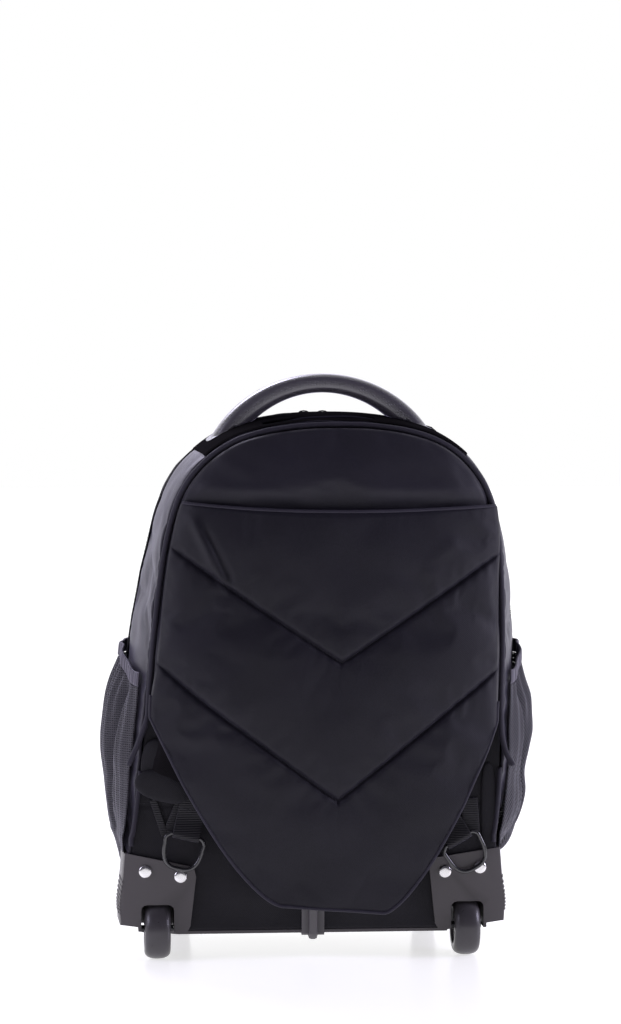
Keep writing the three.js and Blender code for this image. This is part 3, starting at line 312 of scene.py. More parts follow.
def configure(thing, **settings):
    for key, value in settings.items():
        setattr(thing, key, value)
    return thing


@contextmanager
def editing(mesh):
    """Opens a mesh for changes and writes them back at the end."""
    work = bmesh.new()
    work.from_mesh(mesh)
    yield work
    work.to_mesh(mesh)
    work.free()


def points_of(mesh):
    return np.array([v.co for v in mesh.vertices])


def move_points(mesh, points):
    mesh.vertices.foreach_set("co", points.ravel())
    mesh.update()


def new_object(name, verts, faces):
    mesh = bpy.data.meshes.new(name)
    mesh.from_pydata((np.asarray(verts) + SHIFT).tolist(), [], [list(map(int, f)) for f in faces])
    mesh.polygons.foreach_set("use_smooth", [True] * len(mesh.polygons))
    mesh.update()
    return linked(name, mesh)


def grid_faces(rows, cols, wrap_rows=False, wrap_cols=False):
    i, j = np.meshgrid(np.arange(rows if wrap_rows else rows - 1),
                       np.arange(cols if wrap_cols else cols - 1), indexing="ij")
    i, j = i.ravel(), j.ravel()
    k, m = (i + 1) % rows, (j + 1) % cols
    return np.stack([i * cols + j, i * cols + m, k * cols + m, k * cols + j], axis=1)


def facing(verts, faces, outward):
    """Turns all faces round if they look away from outward, a direction or one for each face."""
    p = verts[faces]
    normal = np.cross(p[:, 2] - p[:, 0], p[:, 3] - p[:, 1])
    return faces[:, ::-1] if (normal * outward).sum() < 0 else faces


def from_grid(name, grid, outward, thick=0.0):
    """A sheet of cloth through a grid of points; it is thick metres thick, towards its inside."""
    verts = grid.reshape(-1, 3)
    faces = grid_faces(*grid.shape[:2])
    if isinstance(outward, str):
        middle = verts.mean(axis=0)
        outward = verts[faces].mean(axis=1) - middle
    made = new_object(name, verts, facing(verts, faces, outward))
    if thick:
        thicken(made, thick)
    return made


def thicken(made, thick):
    configure(made.modifiers.new("thickness", "SOLIDIFY"), thickness=thick, offset=-1)
    return made


def loft(name, rings, looped=False):
    """A closed solid through rings of points, with flat ends unless it is looped."""
    rings = np.asarray(rings)
    count, sides = rings.shape[:2]
    faces = [list(f) for f in grid_faces(count, sides, looped, True)]
    if not looped:
        faces += [list(range(sides))[::-1], [(count - 1) * sides + j for j in range(sides)]]
    made = new_object(name, rings.reshape(-1, 3), faces)
    recalculate(made)
    return made


def recalculate(made):
    with editing(made.data) as work:
        bmesh.ops.recalc_face_normals(work, faces=work.faces)


def sweep(name, path, section, side=FORWARD, looped=False):
    """Carries a section along a path. side is the direction of the section's first axis."""
    path = np.asarray(path, float)
    if looped:
        along = np.roll(path, -1, axis=0) - np.roll(path, 1, axis=0)
    else:
        along = np.gradient(path, axis=0)
    along /= np.linalg.norm(along, axis=1)[:, None]
    across = side - (along @ side)[:, None] * along
    across /= np.linalg.norm(across, axis=1)[:, None]
    up = np.cross(along, across)
    rings = []
    for i, p in enumerate(path):
        shape = section(i / (len(path) - 1)) if callable(section) else section
        rings.append(p + shape[:, :1] * across[i] + shape[:, 1:] * up[i])
    return loft(name, rings, looped)


def bar_section(wide, thick, sides=24, power=1.0):
    turn = 2 * np.pi * (np.arange(sides) + 0.5) / sides
    a, b = np.cos(turn), np.sin(turn)
    return np.column_stack([wide / 2 * np.sign(a) * np.abs(a) ** power,
                            thick / 2 * np.sign(b) * np.abs(b) ** power])


def turned(name, axis, centre, profile, sides=48):
    """A turned piece about an axis. The profile is a closed loop of (radius, along)."""
    turn = 2 * np.pi * np.arange(sides) / sides
    r, along = np.array(profile, float).T
    a = np.outer(np.cos(turn), r)
    b = np.outer(np.sin(turn), r)
    c = np.broadcast_to(along, a.shape)
    rings = {"x": (c, a, b), "y": (b, c, a), "z": (a, b, c)}[axis]
    made = loft(name, np.stack(rings, axis=-1) + np.array(centre), True)
    weld(made)
    return made


def weld(made, distance=1e-6):
    with editing(made.data) as work:
        bmesh.ops.remove_doubles(work, verts=work.verts, dist=distance)
        bmesh.ops.dissolve_degenerate(work, edges=work.edges, dist=distance)
        bmesh.ops.recalc_face_normals(work, faces=work.faces)


def sharpen(made, degrees=38):
    """Smooth faces, with sharp edges where two faces meet at more than the angle."""
    with editing(made.data) as work:
        for f in work.faces:
            f.smooth = True
        for e in work.edges:
            e.smooth = len(e.link_faces) == 2 and e.calc_face_angle(0) < math.radians(degrees)
    return made


def from_cad(node, width):
    """A copy of a hard CAD node with its edges rounded."""
    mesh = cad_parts[node].data.copy()
    mesh.materials.clear()
    made = linked(node + "_shaped", mesh)
    with editing(mesh) as work:
        bmesh.ops.remove_doubles(work, verts=work.verts, dist=2e-6)
        bmesh.ops.dissolve_limit(work, angle_limit=math.radians(1.5), verts=work.verts, edges=work.edges)
        bmesh.ops.recalc_face_normals(work, faces=work.faces)
    sharpen(made, 50)
    configure(made.modifiers.new("bevel", "BEVEL"), width=width, segments=2, limit_method="ANGLE",
              angle_limit=math.radians(32), harden_normals=True)
    return made


def normals_of(grid):
    normal = np.cross(np.gradient(grid, axis=0), np.gradient(grid, axis=1))
    return normal / np.maximum(np.linalg.norm(normal, axis=2), 1e-12)[..., None]


def wobble(grid, size, height, seed):
    """Soft unevenness of cloth: moves each point of a grid along its normal."""
    offset = Vector((seed * 7.31, seed * 3.17, seed * 5.77))
    scale = Vector((1, 1, 1)) / size
    amount = np.array([noise.noise(Vector(map(float.__mul__, map(float, p), scale)) + offset)
                       for p in grid.reshape(-1, 3)])
    return grid + (height * amount.reshape(grid.shape[:2]))[..., None] * normals_of(grid)


def simulate(made, pins, pressure, spread, limit, frames=14):
    """Lets cloth puff and pucker between its pinned seams. It may move limit metres at most."""
    scene = bpy.context.scene
    before = points_of(made.data)
    group = made.vertex_groups.new(name="pins")
    group.add([int(i) for i in np.flatnonzero(pins)], 1.0, "REPLACE")
    mod = made.modifiers.new("cloth", "CLOTH")
    configure(mod.settings, quality=6, mass=0.15, tension_stiffness=12, compression_stiffness=12,
              shear_stiffness=4, bending_stiffness=0.4, use_pressure=True,
              uniform_pressure_force=pressure, vertex_group_mass="pins", shrink_min=-spread)
    mod.settings.effector_weights.gravity = 0
    mod.collision_settings.use_collision = False
    configure(mod.point_cache, frame_start=1, frame_end=frames)
    for step in range(1, frames + 1):
        scene.frame_set(step)
    shown = made.evaluated_get(bpy.context.evaluated_depsgraph_get()).data
    moved = points_of(shown)[:len(before)] - before
    made.modifiers.remove(mod)
    made.vertex_groups.remove(group)
    far = np.linalg.norm(moved, axis=1)
    soft = limit * np.tanh(far / limit) / np.maximum(far, 1e-12)
    move_points(made.data, before + moved * soft[:, None])
    scene.frame_set(1)


def edges_of(rows, cols, also_rows=()):
    """Which points of a grid are pinned: its edges and the rows named."""
    pins = np.zeros((rows, cols), bool)
    pins[[0, -1, *also_rows], :] = True
    pins[:, [0, -1]] = True
    return pins.ravel()


# Materials

LILAC = (0.80, 0.76, 1.0)  # tint of the light that the cloth gives back


class Nodes:
    """Adds shader nodes to a tree."""

    def __init__(self, tree):
        self.tree = tree

    def put(self, value, socket):
        if isinstance(value, bpy.types.NodeSocket):
            self.tree.links.new(value, socket)
        else:
            socket.default_value = value

    def node(self, kind, **sockets):
        made = self.tree.nodes.new(kind)
        for key, value in sockets.items():
            self.put(value, made.inputs[key.replace("_", " ")])
        return made

    def maths(self, operation, a, b):
        made = self.tree.nodes.new("ShaderNodeMath")
        made.operation = operation
        self.put(a, made.inputs[0])
        self.put(b, made.inputs[1])
        return made.outputs[0]

    def spread(self, value, low, high, start=0.0, end=1.0, kind="LINEAR"):
        made = self.node("ShaderNodeMapRange", Value=value, From_Min=start, From_Max=end, To_Min=low,
                         To_Max=high)
        made.interpolation_type = kind
        return made.outputs[0]

    def between(self, value, dark, light):
        """The colour between two others, by a value from 0 to 1."""
        made = self.tree.nodes.new("ShaderNodeMix")
        made.data_type = "RGBA"
        for entry, socket in ((value, 0), ((*dark, 1), 6), ((*light, 1), 7)):
            self.put(entry, made.inputs[socket])
        return made.outputs[2]


class Look(Nodes):
    """Builds one procedural material around a principled shader."""

    def __init__(self, name, roughness, metallic=0.0, sheen=0.0, sheen_roughness=0.4, specular=0.5,
                 coat=0.0):
        self.material = bpy.data.materials.new(name)
        self.material.use_nodes = True
        super().__init__(self.material.node_tree)
        self.shader = self.tree.nodes["Principled BSDF"]
        values = {"Roughness": roughness, "Metallic": metallic, "Sheen Weight": sheen,
                  "Sheen Roughness": sheen_roughness, "Sheen Tint": (*LILAC, 1),
                  "Specular IOR Level": specular, "Coat Weight": coat, "Coat Roughness": 0.2}
        for socket, value in values.items():
            self.shader.inputs[socket].default_value = value
        self.place = self.node("ShaderNodeTexCoord").outputs["Object"]

    def link(self, out, socket):
        self.tree.links.new(out, self.shader.inputs[socket])

    def noise(self, scale, detail=3.0):
        return self.node("ShaderNodeTexNoise", Vector=self.place, Scale=scale, Detail=detail).outputs["Fac"]

    def bands(self, period, rotation=(0, 0, 0), distortion=0.0):
        """Waves across X with a period in metres, turned by an Euler rotation."""
        place = self.node("ShaderNodeMapping", Vector=self.place, Rotation=rotation).outputs[0]
        return self.node("ShaderNodeTexWave", Vector=place, Scale=math.pi / 10 / period,
                         Distortion=distortion, Detail=1.0).outputs["Fac"]

    def colours(self, value, dark, light):
        self.link(self.between(value, dark, light), "Base Color")

    def uneven(self, scale, detail, low, high):
        """Roughness that changes softly between two values."""
        self.link(self.spread(self.noise(scale, detail), low, high), "Roughness")

    def bump(self, *layers):
        """Layers of (height value, distance in metres, strength)."""
        under = {}
        for value, distance, strength in layers:
            made = self.node("ShaderNodeBump", Height=value, Distance=distance, Strength=strength, **under)
            under = {"Normal": made.outputs[0]}
        self.link(made.outputs[0], "Normal")
        return self.material


def woven(name, dark, light, roughness, sheen, weave, specular):
    """Cloth with a plain weave, uneven dye, faint creases and lint-like sheen."""
    period, height = weave
    look = Look(name, roughness, sheen=sheen, sheen_roughness=0.45, specular=specular)
    shade = look.maths("ADD", look.maths("MULTIPLY", look.noise(14.0), 0.6),
                       look.maths("MULTIPLY", look.noise(1400.0, 1.0), 0.4))
    look.colours(look.spread(shade, 0, 1, 0.3, 0.7), dark, light)
    look.uneven(60.0, 3.0, roughness - 0.06, roughness + 0.06)
    threads = look.maths("MULTIPLY", look.bands(period, (0, 0.7, 0.35)),
                         look.bands(period, (0, -0.87, 0.35)))
    return look.bump((look.noise(55.0, 4.0), 0.0004, 0.6), (threads, height, 0.5),
                     (look.noise(900.0, 2.0), 0.0001, 0.35))


def moulded(name, dark, light, roughness, grain=0.00008, specular=0.5, coat=0.0):
    """Moulded plastic or rubber with a fine spark grain, and paler edges: partly rubbed wear, partly painted
    highlight along the edges.
    """
    look = Look(name, roughness, specular=specular, coat=coat)
    # pointiness lightens the convex edges: rubbed wear together with painted edge highlight
    wear_and_highlight = look.spread(look.node("ShaderNodeNewGeometry").outputs["Pointiness"], 0, 1, 0.5, 0.58)
    look.colours(look.maths("ADD", wear_and_highlight, look.maths("MULTIPLY", look.noise(30.0), 0.5)), dark, light)
    look.uneven(120.0, 4.0, roughness - 0.08, roughness + 0.08)
    return look.bump((look.noise(1800.0, 2.0), grain, 0.5), (look.noise(70.0), 0.0002, 0.15))


def metal(name, colour, roughness, brushed=0.0):
    look = Look(name, roughness, metallic=1.0)
    look.colours(look.noise(40.0), tuple(0.88 * c for c in colour), colour)
    look.uneven(260.0, 4.0, 0.7 * roughness, 1.3 * roughness)
    layers = [(look.noise(500.0, 3.0), 0.00003, 0.4)]
    if brushed:
        layers.append((look.noise(120.0, 2.0), brushed, 0.3))
    return look.bump(*layers)


def ribbed(name, dark, light, roughness, period, rotation, height, sheen, specular=0.35):
    """Webbing and elastic: ribs across a band, over a fine weave."""
    look = Look(name, roughness, sheen=sheen, specular=specular)
    ribs = look.bands(period, rotation, 0.6)
    fine = look.noise(1300.0, 2.0)
    look.colours(look.spread(look.maths("ADD", ribs, fine), 0, 1, 0.4, 1.5), dark, light)
    return look.bump((ribs, height, 0.8), (fine, 0.0001, 0.5))


def netting(name, period, rotation, see_through):
    """A fine net: ribs one way, thin bars the other way, and holes between them."""
    look = Look(name, 0.62, sheen=0.2, specular=0.3)
    x, y, z = rotation
    bars = look.maths("MULTIPLY", look.bands(0.8 * period, (x, y + math.pi / 2, z), 0.4), 0.7)
    thread = look.maths("MAXIMUM", look.bands(period, rotation, 0.4), bars)
    look.colours(look.spread(thread, 0, 1, 0.2, 0.9), (0.011, 0.0105, 0.014), (0.062, 0.059, 0.072))
    look.link(look.spread(thread, 1 - see_through, 1, 0.15, 0.5), "Alpha")
    return look.bump((thread, 0.0005, 0.9), (look.noise(1500.0, 2.0), 0.0001, 0.4))


def perforated():
    """Soft grip with rows of tiny punched dots."""
    look = Look("handle_grip", 0.36, sheen=1.0, sheen_roughness=0.25, specular=0.9, coat=1.0)
    dots = look.node("ShaderNodeTexVoronoi", Vector=look.place, Scale=420.0, Randomness=0.15)
    hole = look.spread(dots.outputs["Distance"], 0, 1, 0.22, 0.38)
    look.colours(hole, (0.007, 0.0065, 0.008), (0.056, 0.051, 0.066))
    look.uneven(80.0, 3.0, 0.3, 0.46)
    return look.bump((hole, 0.0005, 0.9), (look.noise(700.0, 3.0), 0.0001, 0.4))


FINE_WEAVE, COARSE_WEAVE = (0.0009, 0.00016), (0.0012, 0.00025)  # period and height
UPRIGHT = (0, math.pi / 2, 0)
# cover, panel, side and front are one fabric in lit and shaded copies: side and panel are lighter with
# painted light, cover on the flap facing the dim camera side is darkest, front sits between
LOOKS = {
    "cover": woven("cover_cloth", (0.0054, 0.0047, 0.0088), (0.01, 0.0087, 0.0158), 0.52, 0.08,
                   FINE_WEAVE, 0.26),
    # panel: lighter copy, painted light from above on the upward-facing panel
    "panel": woven("panel_cloth_lit", (0.0078, 0.0068, 0.0122), (0.0142, 0.0124, 0.0218), 0.5, 0.1,
                   FINE_WEAVE, 0.3),
    # side: lighter copy, painted light where the gussets catch the side light
    "side": woven("side_cloth_lit", (0.012, 0.0105, 0.0185), (0.022, 0.0195, 0.032), 0.44, 0.24,
                  FINE_WEAVE, 0.36),
    "front": woven("front_cloth", (0.009, 0.0082, 0.0115), (0.017, 0.0155, 0.0215), 0.7, 0.03,
                   FINE_WEAVE, 0.02),
    "back": woven("back_cloth", (0.01, 0.0095, 0.012), (0.018, 0.017, 0.021), 0.7, 0.08, COARSE_WEAVE, 0.2),
    "dark": woven("dark_cloth", (0.008, 0.0072, 0.0082), (0.015, 0.0138, 0.0158), 0.85, 0.0,
                  COARSE_WEAVE, 0.0),
    "piping": woven("piping_cloth", (0.022, 0.02, 0.029), (0.038, 0.035, 0.05), 0.55, 0.05,
                    (0.0008, 0.0001), 0.15),
    "thread": woven("sewing_thread", (0.004, 0.004, 0.005), (0.01, 0.0095, 0.012), 0.6, 0.1,
                    (0.0004, 0.00005), 0.3),
    "tape": ribbed("zip_tape", (0.004, 0.004, 0.005), (0.01, 0.0095, 0.0115), 0.8, 0.0011, (0, 0, 0),
                   0.0001, 0.0, 0.0),
    "web": ribbed("webbing", (0.005, 0.0047, 0.006), (0.016, 0.0148, 0.019), 0.55, 0.0019, UPRIGHT,
                  0.0003, 0.15),
    "elastic": ribbed("elastic_binding", (0.045, 0.041, 0.055), (0.12, 0.11, 0.142), 0.6, 0.0022,
                      (0, 0, math.pi / 2), 0.0003, 0.25),
    "net_left": netting("net_left", 0.0019, UPRIGHT, 0.25),
    "net_right": netting("net_right", 0.0021, (0.6, 0.9, 0), 0.62),
    "black": moulded("black_plastic", (0.006, 0.006, 0.007), (0.016, 0.0155, 0.018), 0.7, specular=0.0),
    "coil": moulded("zip_coil", (0.01, 0.01, 0.012), (0.026, 0.026, 0.03), 0.5, specular=0.05),
    "plastic": moulded("housing_plastic", (0.032, 0.0285, 0.031), (0.075, 0.068, 0.072), 0.4, specular=0.4),
    "rail": moulded("rail_plastic", (0.05, 0.0455, 0.05), (0.115, 0.108, 0.115), 0.38, specular=0.4),
    "rubber": moulded("tyre_rubber", (0.036, 0.033, 0.037), (0.08, 0.074, 0.082), 0.3, 0.00004),
    "hub": moulded("hub_plastic", (0.01, 0.0095, 0.0105), (0.028, 0.026, 0.029), 0.28),
    "ring": moulded("ring_coating", (0.006, 0.006, 0.007), (0.02, 0.02, 0.023), 0.16, 0.00002, 0.6, 0.6),
    "nickel": metal("bright_nickel", (0.86, 0.85, 0.84), 0.22),
    "steel": metal("plain_steel", (0.1, 0.1, 0.105), 0.5, 0.0001),
    "tube": metal("satin_tube", (0.62, 0.62, 0.64), 0.3, 0.0001),
    "grip": perforated(),
}


def finish_piece(made, look, slot_name, *nodes, body="bag", fill=None):
    """Dresses a piece, lets it ride on its body and hides the CAD nodes it stands for."""
    made.data.materials.clear()
    made.data.materials.append(LOOKS[look])
    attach(made, body)
    if nodes:
        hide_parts(*nodes)


STITCH_PITCH, STITCH_LONG, STITCH_THICK = 0.0032, 0.0023, 0.00045
STITCH_RINGS = ((-0.5, 0.45, 0.0), (-0.25, 1.0, 0.5), (0.25, 1.0, 0.5), (0.5, 0.45, 0.0))


def stitches(name, line):
    """A row of stitches along a line on the bag's back, as one piece of thread."""
    length = np.linalg.norm(np.diff(line, axis=0), axis=1).sum()
    points = resample(line, 2 * max(2, int(length / STITCH_PITCH)) + 1)
    along = np.gradient(points, axis=0)
    along /= np.linalg.norm(along, axis=1)[:, None]
    out = np.array([0.0, -1.0, 0.0])
    side = np.cross(along, out)
    side /= np.maximum(np.linalg.norm(side, axis=1), 1e-9)[:, None]
    shape = [*grid_faces(4, 4, False, True), np.array([3, 2, 1, 0]), np.array([12, 13, 14, 15])]
    verts, faces = [], []
    for p, a, s in zip(points[1::2], along[1::2], side[1::2]):
        faces += [face + len(verts) for face in shape]
        for shift, size, lift in STITCH_RINGS:
            for across, up in ((-1, 0), (0, 1), (1, 0), (0, -0.7)):
                verts.append(p + a * shift * STITCH_LONG + s * across * STITCH_THICK * size / 2
                             + out * (up * STITCH_THICK * size / 2 + lift * STITCH_THICK))
    made = new_object(name, verts, faces)
    recalculate(made)
    finish_piece(made, "thread", "nylon")


# The bag's body

def gusset_cloth(name, look, y0, y1, rows, seed, slot_cut=False):
    """Cloth round the side and top between two seams, puckered a little along them."""
    stations = seam_stations(281)
    ys = np.linspace(y0, y1, rows)
    if slot_cut:
        snap_to_slot(stations, ys)
    grid = np.stack([skin(stations, y, 0.0) for y in ys])
    centre = np.array([0.0, 0.0, height_at(0.4)])
    normal_sign = np.sign((normals_of(grid) * (grid - centre)).sum())
    t = np.linspace(0, 1, rows)[:, None]
    s = np.linspace(0, 1, len(stations))[None, :]
    inward = np.sin(np.pi * t) ** 0.7
    drape = 0.0011 * np.sin(2 * np.pi * (7 * s + 0.35 * np.sin(9 * s + seed))) * inward
    drape += 0.0006 * np.sin(2 * np.pi * (23 * s + 0.8 * t + seed)) * inward * t
    grid = grid + normal_sign * (drape - 0.0012 * inward)[..., None] * normals_of(grid)
    made = from_grid(name + "_cloth", wobble(grid, 0.03, 0.0012, seed), "centre")
    simulate(made, edges_of(rows, len(stations)), 0.4, 0.012, 0.0016)
    if slot_cut:
        cut_slot(made)
    thicken(made, CLOTH - THINNER)
    finish_piece(made, look, "nylon", name, fill=0.4)


def crown_shade_patch():
    """A dark patch of cloth on the crown round the handle's slot, under the handle's feet: painted shade for
    the dimly lit crown.
    """
    stations = seam_stations(281)
    ys = np.linspace(0.0002, ZIP_AT - 0.001, 25)
    snap_to_slot(stations, ys)
    stations = stations[stations[:, 1] > height_at(CROWN_SHADE_FROM)]
    made = from_grid("crown_shade_patch", np.stack([skin(stations, y, PATCH_OUT) for y in ys]), "centre")
    cut_slot(made)
    thicken(made, PATCH_OUT)
    finish_piece(made, "dark", "nylon")


def snap_to_slot(stations, ys):
    """Moves the nearest stations and rows onto the edges of the pull-up handle's slot."""
    for end in (-1, 1):
        edge = TUBE_CENTRE + end * (CUP_HALF + GAP)
        line = skin(stations, TUBE_AT, 0.0)
        top = np.flatnonzero(line[:, 2] > height_at(0.8))
        near = top[np.argmin(np.abs(line[top, 0] - edge))]
        stations[near, 0] += edge - line[near, 0]
        edge = TUBE_AT + end * (CUP_DEEP / 2 + GAP)
        ys[np.argmin(np.abs(ys - edge))] = edge


def cut_faces(made, inside):
    """Cuts out the faces whose middles are inside, in the source's own frame."""
    with editing(made.data) as work:
        doomed = [f for f in work.faces if inside(*(np.array(f.calc_center_median()) - SHIFT))]
        bmesh.ops.delete(work, geom=doomed, context="FACES")


def cut_slot(made):
    wide, deep = CUP_HALF + GAP, CUP_DEEP / 2 + GAP
    cut_faces(made, lambda x, y, z: (abs(x - TUBE_CENTRE) < wide and abs(y - TUBE_AT) < deep
                                     and z > height_at(0.8)))


def main_zip():
    """The zip's tape round the gusset, and its coil of teeth along the middle."""
    stations = seam_stations(241)
    rows = ((0.0, 0.0), (0.0035, 0.0002), (0.0045, 0.0007), (0.0075, 0.0007), (0.0085, 0.0002),
            (ZIP_WIDTH, 0.0))
    grid = np.stack([skin(stations, ZIP_AT + across, out) for across, out in rows])
    tape = from_grid("main_zip_tape", grid, "centre", CLOTH - THINNER)
    finish_piece(tape, "tape", "lining", "main_zip")
    teeth(seam_stations(560), ZIP_AT + ZIP_WIDTH / 2)


def teeth(stations, middle):
    """Small blocks across the zip, by turns a little to one side and to the other."""
    verts, faces = [], []
    for i, row in enumerate(stations[1:-1]):
        k = len(verts)
        centre = skin(row[None, :], middle + (0.0006 if i % 2 else -0.0006), TOOTH - 0.0006)[0]
        out = np.array([row[2], 0.0, row[3]])
        along = np.array([-row[3], 0.0, row[2]])
        verts += [centre + along * a + np.array([0, b, 0]) + out * c for a in (-0.0006, 0.0006)
                  for b in (-0.0014, 0.0014) for c in (-0.0004, 0.0005)]
        faces += [[k, k + 1, k + 3, k + 2], [k + 4, k + 6, k + 7, k + 5], [k, k + 4, k + 5, k + 1],
                  [k + 2, k + 3, k + 7, k + 6], [k, k + 2, k + 6, k + 4], [k + 1, k + 5, k + 7, k + 3]]
    made = new_object("main_zip_teeth", verts, faces)
    recalculate(made)
    sharpen(made)
    finish_piece(made, "coil", "lining")


def front_at(x, z):
    across = x / BODY_HALF
    up = (z - height_at(0.47)) / (0.56 * RISE)
    return DEPTH + CROWN_ROUND * np.maximum(0, 1 - across**2 - up**2)


def disc_grid(rim, centre, shares):
    """Rings of points from a rim towards its centre."""
    return np.stack([centre + (rim - centre) * share for share in shares])


def closed_below(rim):
    """Closes an arched rim with a straight line between its feet."""
    return np.vstack([rim, np.linspace(rim[-1], rim[0], 42)[1:-1]])


def from_disc(name, grid, outward, thick=0.0):
    """A disc-like sheet: rings that wrap round, closed by a small ring of faces at the centre."""
    rings, count = grid.shape[:2]
    verts = np.vstack([grid.reshape(-1, 3), grid[-1].mean(axis=0)])
    last = (rings - 1) * count
    fan = [[last + j, last + (j + 1) % count, len(verts) - 1] for j in range(count)]
    quads = grid_faces(rings, count, False, True)
    turned_round = facing(verts, quads, outward)
    if (turned_round[0] != quads[0]).any():
        quads = turned_round
        fan = [f[::-1] for f in fan]
    made = new_object(name, verts, [*quads, *fan])
    return thicken(made, thick) if thick else made


def front_panel():
    rim = closed_below(skin(seam_stations(161), DEPTH, -CLOTH - GAP)[:, [0, 2]])
    centre = np.array([lean_at(height_at(0.45), DEPTH), height_at(0.45)])
    x, z = np.moveaxis(disc_grid(rim, centre, np.linspace(1, 0.04, 44)), -1, 0)
    grid = wobble(np.stack([x, front_at(x, z), z], axis=-1), 0.05, 0.0012, 3.0)
    made = from_disc("front_panel_cloth", grid, FORWARD, CLOTH - THINNER)
    finish_piece(made, "side", "nylon", "front_panel", fill=0.4)


def pouch_outline(count):
    rough = bar_section(2 * POUCH_HALF, POUCH_HIGH - POUCH_LOW, 48, 0.5)
    middle = (POUCH_LOW + POUCH_HIGH) / 2
    line = np.vstack([rough, rough[:1]]) + np.array([0, middle])
    return smooth_curve(line, count + 1)[:-1], np.array([0.0, middle])


def pouch_point(flat, share, out):
    x, z = np.moveaxis(flat, -1, 0)
    bulge = POUCH_BULGE * np.maximum(1 - share**5, 0) ** 0.6
    return np.stack([x, front_at(x, z) + 3 * GAP + bulge + out, z], axis=-1)


def front_pouch():
    """The pouch on the front, its seam piping and its zip."""
    rim, centre = pouch_outline(180)
    shares = 1 - np.linspace(0, 0.97, 60) ** 1.6
    grid = pouch_point(disc_grid(rim, centre, shares), shares[:, None], CLOTH)
    turn = np.linspace(0, 2 * np.pi, 180, endpoint=False)[None, :]
    fade = np.exp(-((shares[:, None] - 0.9) / 0.12) ** 2)
    grid[..., 1] += 0.001 * np.sin(31 * turn + 3 * np.sin(5 * turn)) * fade
    grid = wobble(grid, 0.045, 0.002, 5.0)
    edge = np.ones(len(rim))
    grid[0] = pouch_point(rim, edge, CLOTH)
    made = from_disc("front_pouch_cloth", grid, FORWARD, CLOTH - THINNER)
    finish_piece(made, "side", "nylon", "front_pouch", fill=0.5)
    pipe = sweep("front_pouch_piping", pouch_point(rim, edge, 0.0016), bar_section(0.0034, 0.0034, 10),
                 looped=True)
    finish_piece(pipe, "piping", "nylon")
    upper = rim[rim[:, 1] > mix(POUCH_LOW, POUCH_HIGH, 0.6)]
    upper = upper[np.argsort(np.arctan2(upper[:, 0], upper[:, 1] - centre[1]))]
    rows = [pouch_point(centre + (upper - centre) * share, np.full(len(upper), share),
                        CLOTH + GAP + 0.0006 + out) for share, out in POUCH_ZIP_ROWS]
    band = from_grid("front_pouch_zip", np.stack(rows), np.array([0, 1, 0.5]), 0.0008)
    finish_piece(band, "tape", "lining", "pouch_zip")


def back_cloth():
    """The back wall's cloth, padded either side of the rail, with a seam across it."""
    z = np.concatenate([np.linspace(BASE_Z, 0.2, 90), np.linspace(0.2, CROWN - 0.004, 61)[1:]])[:, None]
    half = np.maximum(half_at(z) - (CLOTH + GAP), 0.004)
    x = np.linspace(-1, 1, 121) * half + lean_at(z, 0)
    z = np.broadcast_to(z, x.shape)
    pad = ease((np.abs(x) - 0.012) / 0.02) * ease((0.086 - np.abs(x)) / 0.02)
    pad = pad * ease((z - 0.03) / 0.03) * ease((0.128 - z) / 0.02)
    seam = np.exp(-((z - 0.1305) / 0.0016) ** 2)
    grid = np.stack([x, -0.0026 * pad + 0.0012 * seam + 0.0001, np.maximum(z, base_edge(x))], axis=-1)
    made = from_grid("back_cloth", grid, BACKWARD)
    near = WELL_HALF + WELL_CHEEK + GAP + 0.002
    roof = WELL_ROOF + WELL_CHEEK + GAP + 0.002
    cut_faces(made, lambda x, y, z: abs(abs(x) - WHEEL_AT) < near and z < roof)
    thicken(made, WALL - 0.0006)
    finish_piece(made, "back", "nylon", "back_wall", fill=0.5)
    line = np.column_stack([np.linspace(-0.146, 0.150, 60), np.full(60, -0.0003), np.full(60, 0.1325)])
    stitches("back_seam_stitches", line)


# The cover over the back

def above_corner(z, start):
    return ease((z - CORNER_AT - start) / 0.04)


def cover_centre(z):
    return mix(COVER_CENTRE, lean_at(z, 0), above_corner(z, 0.006))


def flap_half(z):
    return mix(COVER_HALF, half_at(z) - PIPE - 4 * GAP, above_corner(z, 0.006))


def flap_lap(u, z):
    """How far the flap's upper right corner laps over the piping."""
    return FLAP_LAP * np.clip((z - 0.30) / 0.08, 0, 1) ** 1.3 * np.maximum(u, 0) ** 3


def cover_face(u, z):
    across = (1 - np.minimum(1, np.abs(u)) ** 2.2) ** 0.7
    edge = mix(COVER_FREE_EDGE, COVER_EDGE, above_corner(z, 0.05))
    return -(edge + COVER_BULGE * across * read(BULGE_ROWS, share_at(z)))


def flap_thick(u):
    return mix(FLAP_EDGE, FLAP, 1 - np.abs(u) ** 3)


def row_height(row, u, is_foot):
    left, tip, right, power, _ = row
    on_left = u < FLAP_TIP
    side = np.where(on_left, left, right)
    t = np.where(on_left, (FLAP_TIP - u) / (1 + FLAP_TIP), (u - FLAP_TIP) / (1 - FLAP_TIP))
    if not is_foot:
        return height_at(mix(tip, side, t**power))
    free = np.clip((t - FLAP_FOOT) / (1 - FLAP_FOOT), 0, 1)
    tilt = FOOT_TILT * np.clip((u - FLAP_TIP) / FLAP_FOOT, -1, 1) * (1 - free)
    return height_at(mix(tip, side, free**power) - tilt)


# Soft creases of the flap: from (x, z) to (x, z), half width and height, in metres
FLAP_CREASES = [
    (-0.100, 0.368, -0.076, 0.316, 0.0045, 0.0034),
    (-0.090, 0.360, -0.070, 0.322, 0.003, -0.0018),
    (0.118, 0.352, 0.092, 0.322, 0.006, 0.0014),
    (-0.070, 0.190, -0.030, 0.165, 0.009, 0.0010),
    (0.050, 0.190, 0.085, 0.215, 0.009, 0.0010),
    (-0.095, 0.230, -0.060, 0.205, 0.007, 0.0012),
    (0.020, 0.292, 0.070, 0.315, 0.010, 0.0009),
]


